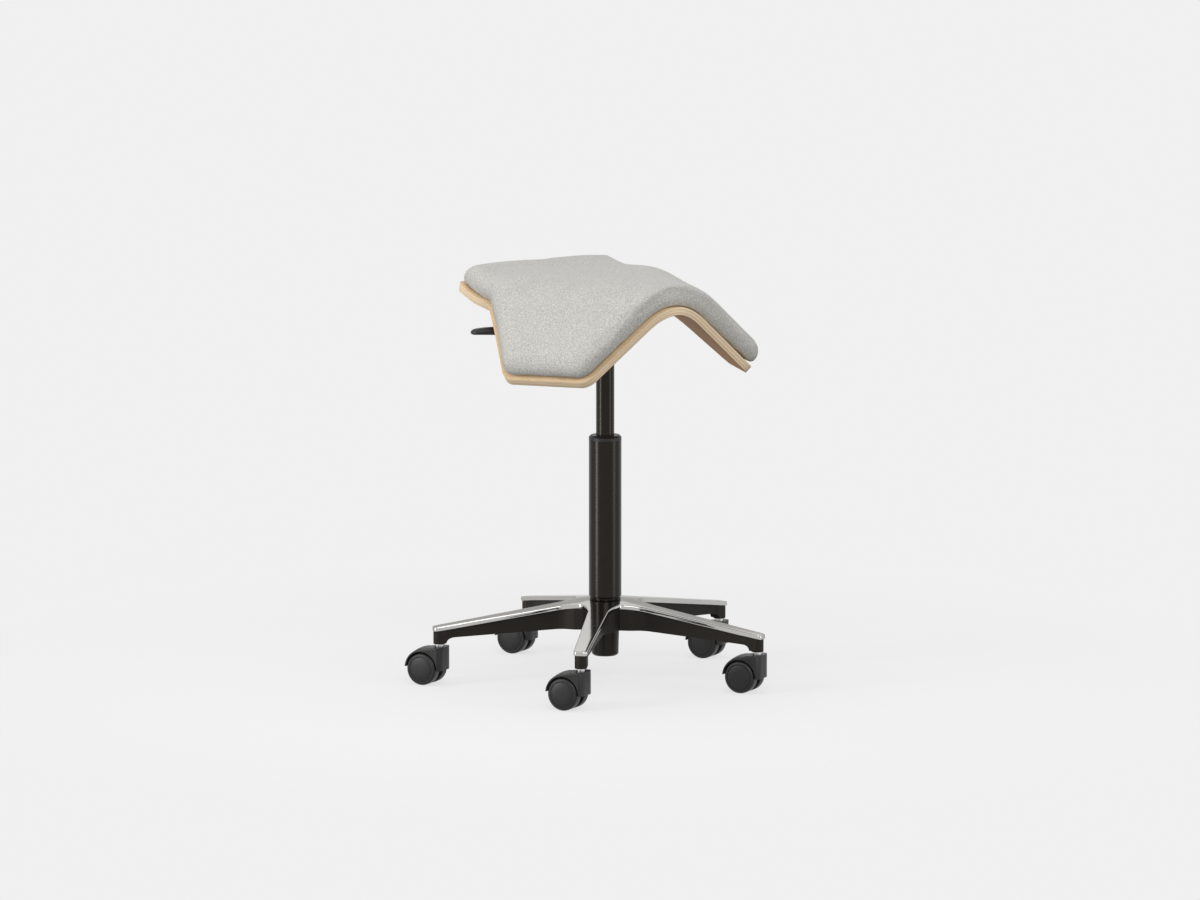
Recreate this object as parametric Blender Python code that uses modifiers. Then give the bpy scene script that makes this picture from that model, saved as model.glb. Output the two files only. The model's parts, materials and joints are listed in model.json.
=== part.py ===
"""Saddle chair: a folded plywood saddle with an upholstered pad, on a gas-lift column,
a five-star aluminium base and five twin-wheel casters.

Metres, +Z up, floor at z = 0. The sitter faces -Y, and the height lever is on the sitter's right.
"""
import math

import bmesh
import bpy
from mathutils import Matrix, Vector

# Clearances
GAP = 0.0003                    # between pieces that touch
WELD = 0.00001                  # points nearer than this are one
RUN_GAP = 0.0006                # round turning and sliding pieces

# Where the column stands: the chair's box is centred on the origin
COLUMN_X = -0.0007
COLUMN_Y = -0.0337

# Saddle shell, seen from above: right half, measured from the column
FRONT_Y = -0.190                # front edge on the centre line
FRONT_RADIUS = 0.300
FRONT_CORNER_X = 0.155
FRONT_CORNER_Y = -0.168
FRONT_CORNER_RADIUS = 0.018
THIGH_CORNER_X = 0.216
THIGH_CORNER_Y = -0.040
THIGH_CORNER_RADIUS = 0.022
NOTCH_X = 0.152
NOTCH_Y = 0.095
NOTCH_RADIUS = 0.014
REAR_CORNER_X = 0.138
REAR_CORNER_Y = 0.196
REAR_CORNER_RADIUS = 0.012

# Saddle shell: folds and lip
SADDLE_Z = 0.5935               # upper face of the flat top
SHELL_THICKNESS = 0.012
FOLD_ANGLE = math.radians(24.35)    # of each fold line from straight ahead, through the notch
FLANK_ANGLE = math.radians(43.4)    # slope of a folded flank
FOLD_BLEND = 0.0227             # half width of a bend, across the fold
LIP_START_Y = 0.080
LIP_RISE = 0.0132
WAIST_DIP = 0.0098              # by which the sides sag between the notches and the lip
WAIST_Y = 0.125
WAIST_REACH = 0.100             # of the sag, forwards and backwards
WAIST_START_X = 0.060           # from the middle, where it begins

# Pad
PAD_THICKNESS = 0.0315
PAD_CROWN = 0.0006
PAD_INSET = 0.0065              # of its foot from the shell's edge
PAD_SIDE_EXTRA = 0.0020         # further inset along the sides, and along the rear
PAD_REAR_EXTRA = 0.0050
PAD_BULGE = 0.0035              # by which its sides swell past the foot
PAD_BULGE_Z = 0.009
PAD_ROUND = 0.022               # of its upper edge
PAD_FOOT_SHARE = 0.75           # of the bulge that its side has half way up to it
INNER_RINGS = (0.86, 0.70, 0.54, 0.36, 0.18)    # plan rings towards the middle, as shares
MIN_ROUND = 0.002               # smallest corner radius of an inset outline

# Plate under the shell, and its screws
PLATE_THICKNESS = 0.003
PLATE_FRONT_Y = -0.050
PLATE_REAR_Y = 0.060
PLATE_FRONT_HALF = 0.030
PLATE_REAR_HALF = 0.050
PLATE_CORNER_RADIUS = 0.008
SCREW_MARGIN = 0.013            # from the plate's edges
SCREW_RADIUS = 0.0025
SCREW_HEAD_RADIUS = 0.0047
SCREW_HEAD_HEIGHT = 0.0030
SCREW_HEAD_TIP_RADIUS = 0.0040
SCREW_SOCKET_RADIUS = 0.0015
SCREW_SOCKET_DEPTH = 0.0018
INSERT_RADIUS = 0.0042
INSERT_LENGTH = 0.0085
SCREW_IN_INSERT = 0.0070

# Gas spring
CYLINDER_RADIUS = 0.014
CYLINDER_WALL = 0.0016
CYLINDER_END = 0.008            # thickness of both ends
CONE_LENGTH = 0.040             # upper taper
CONE_SLOPE = 0.0251             # radius lost per length, as on every gas spring's tapers
CYLINDER_CHAMFER = 0.001
LIFT_DOWN = 0.140
LIFT_UP = 0.060
ROD_RADIUS = 0.005
ROD_NECK_RADIUS = 0.004
ROD_GROOVE_RADIUS = 0.0032
PISTON_LENGTH = 0.012
RELEASE_PIN_RADIUS = 0.0029
RELEASE_PIN_FLANGE = 0.0050
RELEASE_PIN_FLANGE_HEIGHT = 0.002
RELEASE_PIN_TAIL = 0.010
RELEASE_PIN_DOME = 0.0008
RELEASE_PIN_OUT = 0.006         # by which it stands over the cylinder

# Taper socket, welded under the plate
SOCKET_LENGTH = 0.050
SOCKET_RADIUS = 0.0185
SOCKET_SLOT_DEPTH = 0.011

# Column tube
TUBE_RADIUS = 0.025
TUBE_WALL = 0.002
TUBE_TOP_Z = 0.371
TUBE_SHOULDER_Z = 0.131
TUBE_FOOT_Z = 0.0385
TUBE_FOOT_RADIUS = 0.0205
TUBE_TAPER_WALL = 0.0022
TUBE_FOOT_CHAMFER = 0.0025
FOOT_RECESS = 0.006
FOOT_FLOOR = 0.003
BUSH_LENGTH = 0.070
BUSH_COLLAR = 0.008
BUSH_CHAMFER = 0.003
BEARING_RADIUS = 0.013
BEARING_HEIGHT = 0.0064
BUFFER_RADIUS = 0.011
BUFFER_HEIGHT = 0.012
CLIP_WIRE_RADIUS = 0.001
CLIP_OPENING = math.radians(70.0)

# Height lever
LEVER_ANGLE = math.radians(147.0)   # its direction from +X
LEVER_ROD_RADIUS = 0.003
LEVER_HEADROOM = 0.0025         # between the rod and the plate
LEVER_PIVOT = 0.036             # from the column's axis
LEVER_OVERRUN = 0.004           # past the axis, over the release pin
LEVER_BEND_START = 0.052
LEVER_BEND_END = 0.088
LEVER_ROD_END = 0.142
LEVER_DROP = 0.0326
LEVER_BEND_RADIUS = 0.012
LEVER_EYE_RADIUS = 0.005
LEVER_EYE_HALF = 0.004
LEVER_PIN_RADIUS = 0.002
BRACKET_WALL = 0.003
BRACKET_HALF_LENGTH = 0.008
BRACKET_DEPTH = 0.0145
PADDLE_START = 0.126
PADDLE_TIP = 0.205
PADDLE_HALF_WIDTH = 0.0115
PADDLE_ROOT_HALF = 0.0066
PADDLE_DROOP = 0.0022
PADDLE_DROOP_POWER = 5.0        # how late along its length it droops
PADDLE_COLLAR = 0.032           # length over which it widens from the rod
PADDLE_THINNING = 0.40          # of its thickness lost on the way to the tip
PADDLE_THINNING_POWER = 3.0     # how late it thins
PADDLE_TIP_START = 0.80         # share of its length where the round tip begins, from above
PADDLE_NOSE_START = 0.92        # the same, from the side
PADDLE_TIP_LEFT = 0.06          # least square of the tip's share of width
PADDLE_SQUARENESS = (0.7, 0.8)  # of its section, across and upright; 1 is an ellipse

# Base casting
ARMS = 5
ARM_ANGLE = math.radians(-133.74)   # of the first arm, from +X
STEM_CIRCLE = 0.2571            # radius of the caster stems' circle
HUB_TOP_Z = 0.127
PLATE_SLOPE = 0.155             # fall of the arms' top per length
FLAT_TOP_RADIUS = 0.025
STAR_PLATE = 0.007
ARM_ROOT_HALF = 0.0165
ARM_TIP_HALF = 0.0105
ARM_TIP_OVERHANG = 0.0099       # of the plate beyond the stem's axis
ARM_TIP_RADIUS = 0.006
CROTCH_RADIUS = 0.050
CROTCH_FILLET = 0.030
CROTCH_SHARES = (0.2, 0.45, 0.8)    # of the fillet's length, where the arms have sections
HUB_RING_SHARE = 0.6            # of the crotch's radius, where the hub has a ring of points
STRAIGHT_START = 0.039          # from the crotch to where the arms' sides are straight
TIP_DEGREES = (35.0, 65.0, 88.0)    # round an arm's end corners
BODY_INSET = 0.0018             # of the black lower body under the plate's rim
HUB_BOTTOM_Z = 0.0830
ARM_END_Z = 0.0730              # lower edge where the flare begins
FLARE_LENGTH = 0.014
FLARE_SHARES = (0.35, 0.65, 0.87, 1.0)
FLARE_END_STEP = 0.0015         # of the flare's end over the boss's lower face
BOSS_RADIUS = 0.0093
BOSS_BOTTOM_Z = 0.0634
BODY_WALL = 0.0035
RIB = 0.004
POCKET_ROOF = 0.003             # of the lower body left under the plate
POCKETS = 3
POCKET_START = 0.015            # from the crotch
HUB_WALL = 0.0075

# Casters
CASTER_ANGLE = math.radians(117.0)  # trailing direction of all five, from +X
WHEEL_RADIUS = 0.025
WHEEL_STEPS = 20
WHEEL_INNER = 0.0062            # inner and outer faces, from the caster's middle plane
WHEEL_OUTER = 0.0218
TREAD_ROUND = 0.004
TREAD_DROP = 0.0012             # of the tread's rounding in radius, where its side begins
TREAD_OUTER_EDGE = 0.0018       # from the outer face to that place, and to the full radius
TREAD_OUTER_FULL = 0.0052
TREAD_INNER_FULL = 0.002        # from the inner face to the full radius
RIM_LINE_RADIUS = 0.0185
RIM_LINE_STEP = 0.0006
DISH_DEPTH = 0.006
DISH_RADIUS = 0.019
AXLE_RADIUS = 0.003
AXLE_DEPTH = 0.010              # of its ends inside each wheel
TRAIL = 0.0215
WEB_HALF = 0.0055
WEB_RADIUS = 0.0283
WEB_LOBE_RADIUS = 0.009         # round the axle
WEB_LOBE = math.radians(35.0)   # under the axle's height, where the lobe begins
WEB_LOBE_STEPS = 6
WEB_STEPS = 12
WEB_END = math.radians(10.0)    # over the axle's height, where the web's arc begins
HOOD_HALF = 0.0200
HOOD_GAP = 0.0014               # over the tread
HOOD_TIP = 0.0024               # thickness at the trailing tip
HOOD_TIP_RISE = 0.0026          # of that tip over the axle
HOOD_TOP_Z = 0.0588
HOOD_FLAT = 0.0095              # reach of its flat top behind the stem's axis
HOOD_FRONT = 0.0101             # ahead of the stem's axis
HOOD_FRONT_HALF = 0.0119
HOOD_SIDE_FRONT = 0.0063        # ahead of it at the sides
HOOD_BOTTOM_Z = 0.023
HOOD_SIDE_RADIUS = 0.0295
HOOD_OUTER_STEPS = 7
HOOD_INNER_STEPS = 9
STEM_RADIUS = 0.0055
STEM_NECK_RADIUS = 0.004
STEM_LENGTH_IN_BOSS = 0.020
STEM_LENGTH_IN_HOOD = 0.028
STEM_CHAMFER = 0.001
STEM_SEAT_DEPTH = 0.006         # notch in the hood's top round the stem
STEM_NOTCH_HALF = 0.0075
RING_GROOVE = 0.0010
RING_HEIGHT = 0.003
RING_DEPTH = 0.003              # of the grip ring under the stem's top

# Fineness of round pieces
STEPS_LARGE = 32
STEPS_MEDIUM = 24
STEPS_BOSS = 16
STEPS_HIDDEN = 16               # of pieces inside the column
STEPS_SMALL = 12
SHARP_ANGLE = math.radians(32.0)

# Heights that follow from the sizes above
SHELL_UNDER_Z = SADDLE_Z - SHELL_THICKNESS
PLATE_TOP_Z = SHELL_UNDER_Z - GAP
PLATE_UNDER_Z = PLATE_TOP_Z - PLATE_THICKNESS
LEVER_Z = PLATE_UNDER_Z - LEVER_HEADROOM - LEVER_ROD_RADIUS
RELEASE_PIN_TOP_Z = LEVER_Z - LEVER_ROD_RADIUS - GAP
CYLINDER_TOP_Z = RELEASE_PIN_TOP_Z - RELEASE_PIN_OUT
SOCKET_TOP_Z = PLATE_UNDER_Z - GAP
FLOOR_UNDER_Z = TUBE_FOOT_Z + FOOT_RECESS
FLOOR_TOP_Z = FLOOR_UNDER_Z + FOOT_FLOOR
BEARING_BOTTOM_Z = FLOOR_TOP_Z + GAP
BEARING_TOP_Z = BEARING_BOTTOM_Z + BEARING_HEIGHT
BUFFER_TOP_Z = BEARING_TOP_Z + GAP + BUFFER_HEIGHT
CYLINDER_BOTTOM_Z = BUFFER_TOP_Z + GAP + LIFT_DOWN
PISTON_BOTTOM_Z = CYLINDER_BOTTOM_Z + CYLINDER_END + LIFT_UP + GAP
TAPER_SLOPE = CONE_SLOPE
TAPER_TOP_RADIUS = TUBE_FOOT_RADIUS + TAPER_SLOPE * (TUBE_SHOULDER_Z - TUBE_FOOT_Z)
AXLE_Z = WHEEL_RADIUS * math.cos(math.pi / WHEEL_STEPS)
ARM_TIP = STEM_CIRCLE + ARM_TIP_OVERHANG
TOP_EDGE_INSET = PAD_INSET - PAD_BULGE + PAD_ROUND


def clear_scene():
    """Starts from an empty scene."""
    for thing in list(bpy.data.objects):
        bpy.data.objects.remove(thing, do_unlink=True)


def new_collection(name):
    """A named collection in the scene."""
    made = bpy.data.collections.new(name)
    bpy.context.scene.collection.children.link(made)
    return made


clear_scene()
PARTS = new_collection("saddle_chair")
CUTTERS = new_collection("cutters")


def material(name, colour, roughness, metallic=0.0):
    """A plain surface with one colour."""
    made = bpy.data.materials.new(name)
    made.use_nodes = True
    shader = made.node_tree.nodes["Principled BSDF"]
    shader.inputs["Base Color"].default_value = (*colour, 1.0)
    shader.inputs["Roughness"].default_value = roughness
    shader.inputs["Metallic"].default_value = metallic
    made.diffuse_color = (*colour, 1.0)
    return made


OAK = material("oak_veneer", (0.62, 0.46, 0.30), 0.55)
WOOL = material("grey_wool", (0.52, 0.51, 0.49), 0.95)
BLACK_STEEL = material("black_powder_coat", (0.012, 0.012, 0.012), 0.42)
BRIGHT_STEEL = material("bright_steel", (0.60, 0.60, 0.60), 0.25, 1.0)
ZINC_STEEL = material("zinc_plated_steel", (0.48, 0.48, 0.46), 0.38, 1.0)
ALUMINIUM = material("polished_aluminium", (0.70, 0.70, 0.69), 0.18, 1.0)
BLACK_NYLON = material("black_nylon", (0.016, 0.016, 0.016), 0.50)
BLACK_RUBBER = material("black_rubber", (0.010, 0.010, 0.010), 0.80)


def empty(name, parent, location, turn=0.0):
    """A joint's place: location in the parent's frame and a turn about Z."""
    made = bpy.data.objects.new(name, None)
    PARTS.objects.link(made)
    made.parent = parent
    made.location = location
    made.rotation_euler = (0.0, 0.0, turn)
    return made


def part(name, mesh, surface, parent, location=(0.0, 0.0, 0.0), turn=0.0):
    """One named piece of the chair."""
    made = bpy.data.objects.new(name, mesh)
    PARTS.objects.link(made)
    made.parent = parent
    made.location = location
    made.rotation_euler = (0.0, 0.0, turn)
    mesh.materials.clear()
    mesh.materials.append(surface)
    mesh.shade_smooth()
    mesh.set_sharp_from_angle(angle=SHARP_ANGLE)
    return made


def tool(name, mesh):
    """A guide or cutter that isn't a piece of the chair."""
    made = bpy.data.objects.new(name, mesh)
    CUTTERS.objects.link(made)
    made.hide_render = True
    made.display_type = "WIRE"
    return made


def baked(thing):
    """The evaluated mesh of an object, which is then removed."""
    bpy.context.view_layer.update()
    seen = thing.evaluated_get(bpy.context.evaluated_depsgraph_get())
    mesh = bpy.data.meshes.new_from_object(seen)
    bpy.data.objects.remove(thing, do_unlink=True)
    return mesh


def combined(mesh, others, operation):
    """A mesh with others joined to it (UNION) or cut out of it (DIFFERENCE)."""
    body = tool("body", mesh)
    helpers = []
    for number, other in enumerate(others):
        helper = tool(f"helper_{number}", other)
        step = body.modifiers.new(operation.lower(), "BOOLEAN")
        step.operation = operation
        step.solver = "EXACT"
        step.object = helper
        helpers.append(helper)
    result = baked(body)
    for helper in helpers:
        bpy.data.objects.remove(helper, do_unlink=True)
    return result


def turned(profile, steps, closed=False):
    """A profile of (radius, z), which runs down its outer side, turned about Z.

    An open profile begins and ends on the axis, and a closed one makes a ring.
    """
    mesh = bpy.data.meshes.new("turned")
    points = [(radius, 0.0, z) for radius, z in profile]
    edges = [(i, i + 1) for i in range(len(points) - 1)]
    if closed:
        edges.append((len(points) - 1, 0))
    mesh.from_pydata(points, edges, [])
    guide = tool("profile", mesh)
    screw = guide.modifiers.new("turn", "SCREW")
    screw.axis = "Z"
    screw.steps = steps
    screw.render_steps = steps
    screw.use_merge_vertices = True
    screw.merge_threshold = WELD
    screw.use_smooth_shade = True
    return baked(guide)


def lofted(sections):
    """A closed solid through rings of points, all with the same count, with both ends capped."""
    shape = bmesh.new()
    rings = [[shape.verts.new(point) for point in section] for section in sections]
    count = len(rings[0])
    for ring, following in zip(rings, rings[1:]):
        for i in range(count):
            j = (i + 1) % count
            shape.faces.new((ring[i], ring[j], following[j], following[i]))
    shape.faces.new(list(reversed(rings[0])))
    shape.faces.new(rings[-1])
    bmesh.ops.recalc_face_normals(shape, faces=shape.faces)
    bmesh.ops.triangulate(shape, faces=shape.faces)
    mesh = bpy.data.meshes.new("loft")
    shape.to_mesh(mesh)
    shape.free()
    return mesh


def box(low, high):
    """A box between two corners."""
    shape = bmesh.new()
    bmesh.ops.create_cube(shape, size=1.0)
    size = Vector(high) - Vector(low)
    bmesh.ops.scale(shape, vec=size, verts=shape.verts)
    bmesh.ops.translate(shape, vec=(Vector(high) + Vector(low)) / 2.0, verts=shape.verts)
    mesh = bpy.data.meshes.new("box")
    shape.to_mesh(mesh)
    shape.free()
    return mesh


def rod(radius, start, end, steps):
    """A straight round bar from start to end."""
    along = Vector(end) - Vector(start)
    shape = bmesh.new()
    bmesh.ops.create_cone(shape, cap_ends=True, segments=steps, radius1=radius, radius2=radius,
                          depth=along.length)
    turn = along.to_track_quat("Z", "Y").to_matrix().to_4x4()
    middle = Matrix.Translation((Vector(start) + Vector(end)) / 2.0)
    bmesh.ops.transform(shape, matrix=middle @ turn, verts=shape.verts)
    mesh = bpy.data.meshes.new("rod")
    shape.to_mesh(mesh)
    shape.free()
    return mesh


def moved(mesh, matrix):
    """A mesh turned or shifted."""
    mesh.transform(matrix)
    return mesh


def welded(mesh):
    """A mesh whose doubled points are merged and whose faces look outwards."""
    shape = bmesh.new()
    shape.from_mesh(mesh)
    bmesh.ops.remove_doubles(shape, verts=shape.verts, dist=WELD)
    bmesh.ops.recalc_face_normals(shape, faces=shape.faces)
    shape.to_mesh(mesh)
    shape.free()
    return mesh


def flat_plate(outlines, thickness):
    """A plate in the XY plane, from its outline and those of its holes, half its thickness each way."""
    curve = bpy.data.curves.new("outline", "CURVE")
    curve.dimensions = "2D"
    curve.fill_mode = "BOTH"
    curve.extrude = thickness / 2.0
    for outline in outlines:
        line = curve.splines.new("POLY")
        line.points.add(len(outline) - 1)
        for knot, (x, y) in zip(line.points, outline):
            knot.co = (x, y, 0.0, 1.0)
        line.use_cyclic_u = True
    sheet = bpy.data.objects.new("outline", curve)
    CUTTERS.objects.link(sheet)
    return welded(baked(sheet))


def circle(centre, radius, steps):
    """Points of a round outline."""
    angles = [2.0 * math.pi * i / steps for i in range(steps)]
    return [(centre[0] + radius * math.cos(a), centre[1] + radius * math.sin(a)) for a in angles]


# Saddle surface

def arc_corner(before, corner, after, radius, steps):
    """Points of a rounded corner between two straight edges."""
    into = (before - corner).normalized()
    out = (after - corner).normalized()
    half = into.angle(out) / 2.0
    reach = radius / math.tan(half)
    centre = corner + (into + out).normalized() * (radius / math.sin(half))
    first = corner + into * reach - centre
    last = corner + out * reach - centre
    sweep = first.angle_signed(last)
    points = []
    for i in range(steps + 1):
        angle = -sweep * i / steps
        turned_by = Matrix.Rotation(angle, 2)
        points.append(centre + turned_by @ first)
    return points


def inset_corners(corners, inset):
    """Corners of the outline moved inwards, with their radii made to follow.

    An inset outline keeps a further distance from the edges at the rear.
    """
    count = len(corners)
    result = []
    for i, (corner, radius, steps, spans, extra) in enumerate(corners):
        before = corners[i - 1]
        after = corners[(i + 1) % count]
        way_in = (corner - before[0]).normalized()
        way_out = (after[0] - corner).normalized()
        normal_in = Vector((-way_in.y, way_in.x))
        normal_out = Vector((-way_out.y, way_out.x))
        shift_in = inset + before[4] if inset else 0.0
        shift_out = inset + extra if inset else 0.0
        turn = normal_in.cross(normal_out)
        shift = Vector((shift_in * normal_out.y - shift_out * normal_in.y,
                        shift_out * normal_in.x - shift_in * normal_out.x)) / turn
        grown = radius - inset if turn > 0.0 else radius + inset
        result.append((corner + shift, max(grown, MIN_ROUND), steps, spans))
    return result


def saddle_corners():
    """The plan outline from the front, anticlockwise from above.

    Each entry has a corner, its radius, the steps of its arc, and of the edge to the next corner
    the spans and the further distance that the pad keeps from it.
    """
    right = [
        (Vector((0.0, FRONT_Y)), FRONT_RADIUS, 8, 2, 0.0),
        (Vector((FRONT_CORNER_X, FRONT_CORNER_Y)), FRONT_CORNER_RADIUS, 4, 2, 0.0),
        (Vector((THIGH_CORNER_X, THIGH_CORNER_Y)), THIGH_CORNER_RADIUS, 4, 5, PAD_SIDE_EXTRA),
        (Vector((NOTCH_X, NOTCH_Y)), NOTCH_RADIUS, 3, 4, PAD_REAR_EXTRA),
        (Vector((REAR_CORNER_X, REAR_CORNER_Y)), REAR_CORNER_RADIUS, 3, 5, PAD_REAR_EXTRA),
    ]
    left = []
    for entry, before in zip(right[:0:-1], right[-2::-1]):
        corner, radius, steps = entry[:3]
        left.append((Vector((-corner.x, corner.y)), radius, steps, before[3], before[4]))
    return right + left


def saddle_outline(inset):
    """Points round the saddle in plan, with the same count at every inset."""
    corners = inset_corners(saddle_corners(), inset)
    count = len(corners)
    points = []
    for i, (corner, radius, steps, spans) in enumerate(corners):
        before = corners[i - 1][0]
        after = corners[(i + 1) % count][0]
        points.extend(arc_corner(before, corner, after, radius, steps))
        following = corners[(i + 1) % count]
        beyond = corners[(i + 2) % count][0]
        start = points[-1]
        end = arc_corner(corner, following[0], beyond, following[1], following[2])[0]
        for k in range(1, spans):
            points.append(start.lerp(end, k / spans))
    return points


def fold_drop(distance):
    """Depth under the flat top, per unit of slope, at a distance outside a fold line."""
    if distance <= -FOLD_BLEND:
        return 0.0
    if distance >= FOLD_BLEND:
        return distance
    return (distance + FOLD_BLEND) ** 2 / (4.0 * FOLD_BLEND)


def saddle_height(x, y):
    """Height of the shell's upper face."""
    drop = 0.0
    for side in (1.0, -1.0):
        outside = math.cos(FOLD_ANGLE) * (side * x - NOTCH_X) - math.sin(FOLD_ANGLE) * (y - NOTCH_Y)
        drop += fold_drop(outside)
    lip = max(0.0, (y - LIP_START_Y) / (REAR_CORNER_Y - LIP_START_Y))
    away = min(1.0, abs(y - WAIST_Y) / WAIST_REACH)
    aside = max(0.0, (abs(x) - WAIST_START_X) / (NOTCH_X - WAIST_START_X))
    sag = WAIST_DIP * aside ** 2 * (1.0 + math.cos(math.pi * away)) / 2.0
    return SADDLE_Z - math.tan(FLANK_ANGLE) * drop + LIP_RISE * lip ** 2 - sag


def saddle_point(plan, lift):
    """A point at a distance over the shell's upper face, along its normal."""
    step = 0.0005
    x, y = plan
    slope_x = (saddle_height(x + step, y) - saddle_height(x - step, y)) / (2.0 * step)
    slope_y = (saddle_height(x, y + step) - saddle_height(x, y - step)) / (2.0 * step)
    normal = Vector((-slope_x, -slope_y, 1.0)).normalized()
    return Vector((x, y, saddle_height(x, y))) + normal * lift


def ring_plans():
    """Plan rings that shell and pad share, from the pad's foot inwards."""
    plans = [saddle_outline(PAD_INSET), saddle_outline(TOP_EDGE_INSET)]
    rim = plans[-1]
    for share in INNER_RINGS:
        plans.append([point * share for point in rim])
    return plans


def ring_surface(rings, centre, close_with=None):
    """Faces between rings of points, with a fan to the centre of the last ring."""
    shape = bmesh.new()
    loops = [[shape.verts.new(point) for point in ring] for ring in rings]
    count = len(loops[0])

    def band(outer, inner):
        for i in range(count):
            j = (i + 1) % count
            shape.faces.new((outer[i], outer[j], inner[j], inner[i]))

    for outer, inner in zip(loops, loops[1:]):
        band(outer, inner)
    tip = shape.verts.new(centre)
    for i in range(count):
        shape.faces.new((loops[-1][i], loops[-1][(i + 1) % count], tip))
    if close_with:
        lower_rings, lower_centre = close_with
        lower = [loops[0]] + [[shape.verts.new(p) for p in ring] for ring in lower_rings]
        for outer, inner in zip(lower, lower[1:]):
            band(outer, inner)
        foot = shape.verts.new(lower_centre)
        for i in range(count):
            shape.faces.new((lower[-1][i], lower[-1][(i + 1) % count], foot))
    bmesh.ops.recalc_face_normals(shape, faces=shape.faces)
    mesh = bpy.data.meshes.new("surface")
    shape.to_mesh(mesh)
    shape.free()
    return mesh


def screw_places():
    """Plan places of the four plate screws."""
    places = []
    for y, half in ((PLATE_FRONT_Y + SCREW_MARGIN, PLATE_FRONT_HALF),
                    (PLATE_REAR_Y - SCREW_MARGIN, PLATE_REAR_HALF)):
        for side in (1.0, -1.0):
            places.append((side * (half - SCREW_MARGIN), y))
    return places


def seat_shell(parent):
    """Moulded plywood: an open folded surface with thickness, and blind holes for the inserts."""
    plans = [saddle_outline(0.0)] + ring_plans()
    rings = [[saddle_point(plan, 0.0) for plan in ring] for ring in plans]
    surface = tool("saddle", ring_surface(rings, saddle_point((0.0, 0.0), 0.0)))
    thick = surface.modifiers.new("plywood", "SOLIDIFY")
    thick.thickness = SHELL_THICKNESS
    thick.offset = -1.0
    thick.use_even_offset = True
    shell = baked(surface)
    holes = []
    for x, y in screw_places():
        low = (x, y, SHELL_UNDER_Z - GAP)
        high = (x, y, SHELL_UNDER_Z + INSERT_LENGTH + GAP)
        holes.append(rod(INSERT_RADIUS + GAP, low, high, STEPS_SMALL))
    return part("seat_shell", combined(shell, holes, "DIFFERENCE"), OAK, parent)


def seat_pad(parent):
    """Foam pad: drawn-in foot, swelling sides, round upper edge and a slight crown."""
    plans = ring_plans()
    side = [(PAD_INSET, GAP), (PAD_INSET - PAD_FOOT_SHARE * PAD_BULGE, PAD_BULGE_Z / 2.0)]
    rise = PAD_THICKNESS - PAD_BULGE_Z
    edge_steps = 4
    for i in range(edge_steps):
        angle = math.pi / 2.0 * i / edge_steps
        inset = PAD_INSET - PAD_BULGE + PAD_ROUND * (1.0 - math.cos(angle))
        side.append((inset, PAD_BULGE_Z + rise * math.sin(angle)))
    upper = [[saddle_point(plan, lift) for plan in saddle_outline(inset)] for inset, lift in side]
    crowns = [0.0] + [PAD_CROWN * (1.0 - share ** 2) for share in INNER_RINGS]
    for ring, crown in zip(plans[1:], crowns):
        upper.append([saddle_point(plan, PAD_THICKNESS + crown) for plan in ring])
    lower = [[saddle_point(plan, GAP) for plan in ring] for ring in plans[1:]]
    top = saddle_point((0.0, 0.0), PAD_THICKNESS + PAD_CROWN)
    bottom = saddle_point((0.0, 0.0), GAP)
    return part("seat_pad", ring_surface(upper, top, (lower, bottom)), WOOL, parent)


# Seat mechanism

def seat_plate(parent):
    """Pressed steel plate with four screw holes and a trapezoid outline."""
    corners = [
        Vector((PLATE_FRONT_HALF, PLATE_FRONT_Y)),
        Vector((PLATE_REAR_HALF, PLATE_REAR_Y)),
        Vector((-PLATE_REAR_HALF, PLATE_REAR_Y)),
        Vector((-PLATE_FRONT_HALF, PLATE_FRONT_Y)),
    ]
    outline = []
    for i, corner in enumerate(corners):
        after = corners[(i + 1) % len(corners)]
        outline.extend(arc_corner(corners[i - 1], corner, after, PLATE_CORNER_RADIUS, 4))
    holes = [circle(place, SCREW_RADIUS + GAP, STEPS_SMALL) for place in screw_places()]
    sheet = flat_plate([outline] + holes, PLATE_THICKNESS)
    middle = (PLATE_UNDER_Z + PLATE_TOP_Z) / 2.0
    part("seat_plate", sheet, BLACK_STEEL, parent, (0.0, 0.0, middle))


def plate_fasteners(parent):
    """Four screws from below, each in a threaded insert in the shell."""
    head_top = PLATE_UNDER_Z - GAP
    shank_top = SHELL_UNDER_Z + SCREW_IN_INSERT
    insert_top = SHELL_UNDER_Z + INSERT_LENGTH
    head_bottom = head_top - SCREW_HEAD_HEIGHT
    socket_top = head_bottom + SCREW_SOCKET_DEPTH
    screw = turned([
        (0.0, shank_top),
        (SCREW_RADIUS, shank_top),
        (SCREW_RADIUS, head_top),
        (SCREW_HEAD_RADIUS, head_top),
        (SCREW_HEAD_TIP_RADIUS, head_bottom),
        (SCREW_SOCKET_RADIUS, head_bottom),
        (SCREW_SOCKET_RADIUS, socket_top),
        (0.0, socket_top),
    ], STEPS_SMALL)
    bore = SCREW_RADIUS + GAP
    insert = turned([
        (bore, insert_top),
        (INSERT_RADIUS, insert_top),
        (INSERT_RADIUS, SHELL_UNDER_Z),
        (bore, SHELL_UNDER_Z),
    ], STEPS_SMALL, closed=True)
    for number, (x, y) in enumerate(screw_places(), start=1):
        part(f"plate_screw_{number}", screw.copy(), ZINC_STEEL, parent, (x, y, 0.0))
        part(f"threaded_insert_{number}", insert.copy(), ZINC_STEEL, parent, (x, y, 0.0))


def cone_radius(z):
    """Outer radius of the gas cylinder's upper end."""
    return CYLINDER_RADIUS - CONE_SLOPE * max(0.0, z - (CYLINDER_TOP_Z - CONE_LENGTH))


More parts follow.
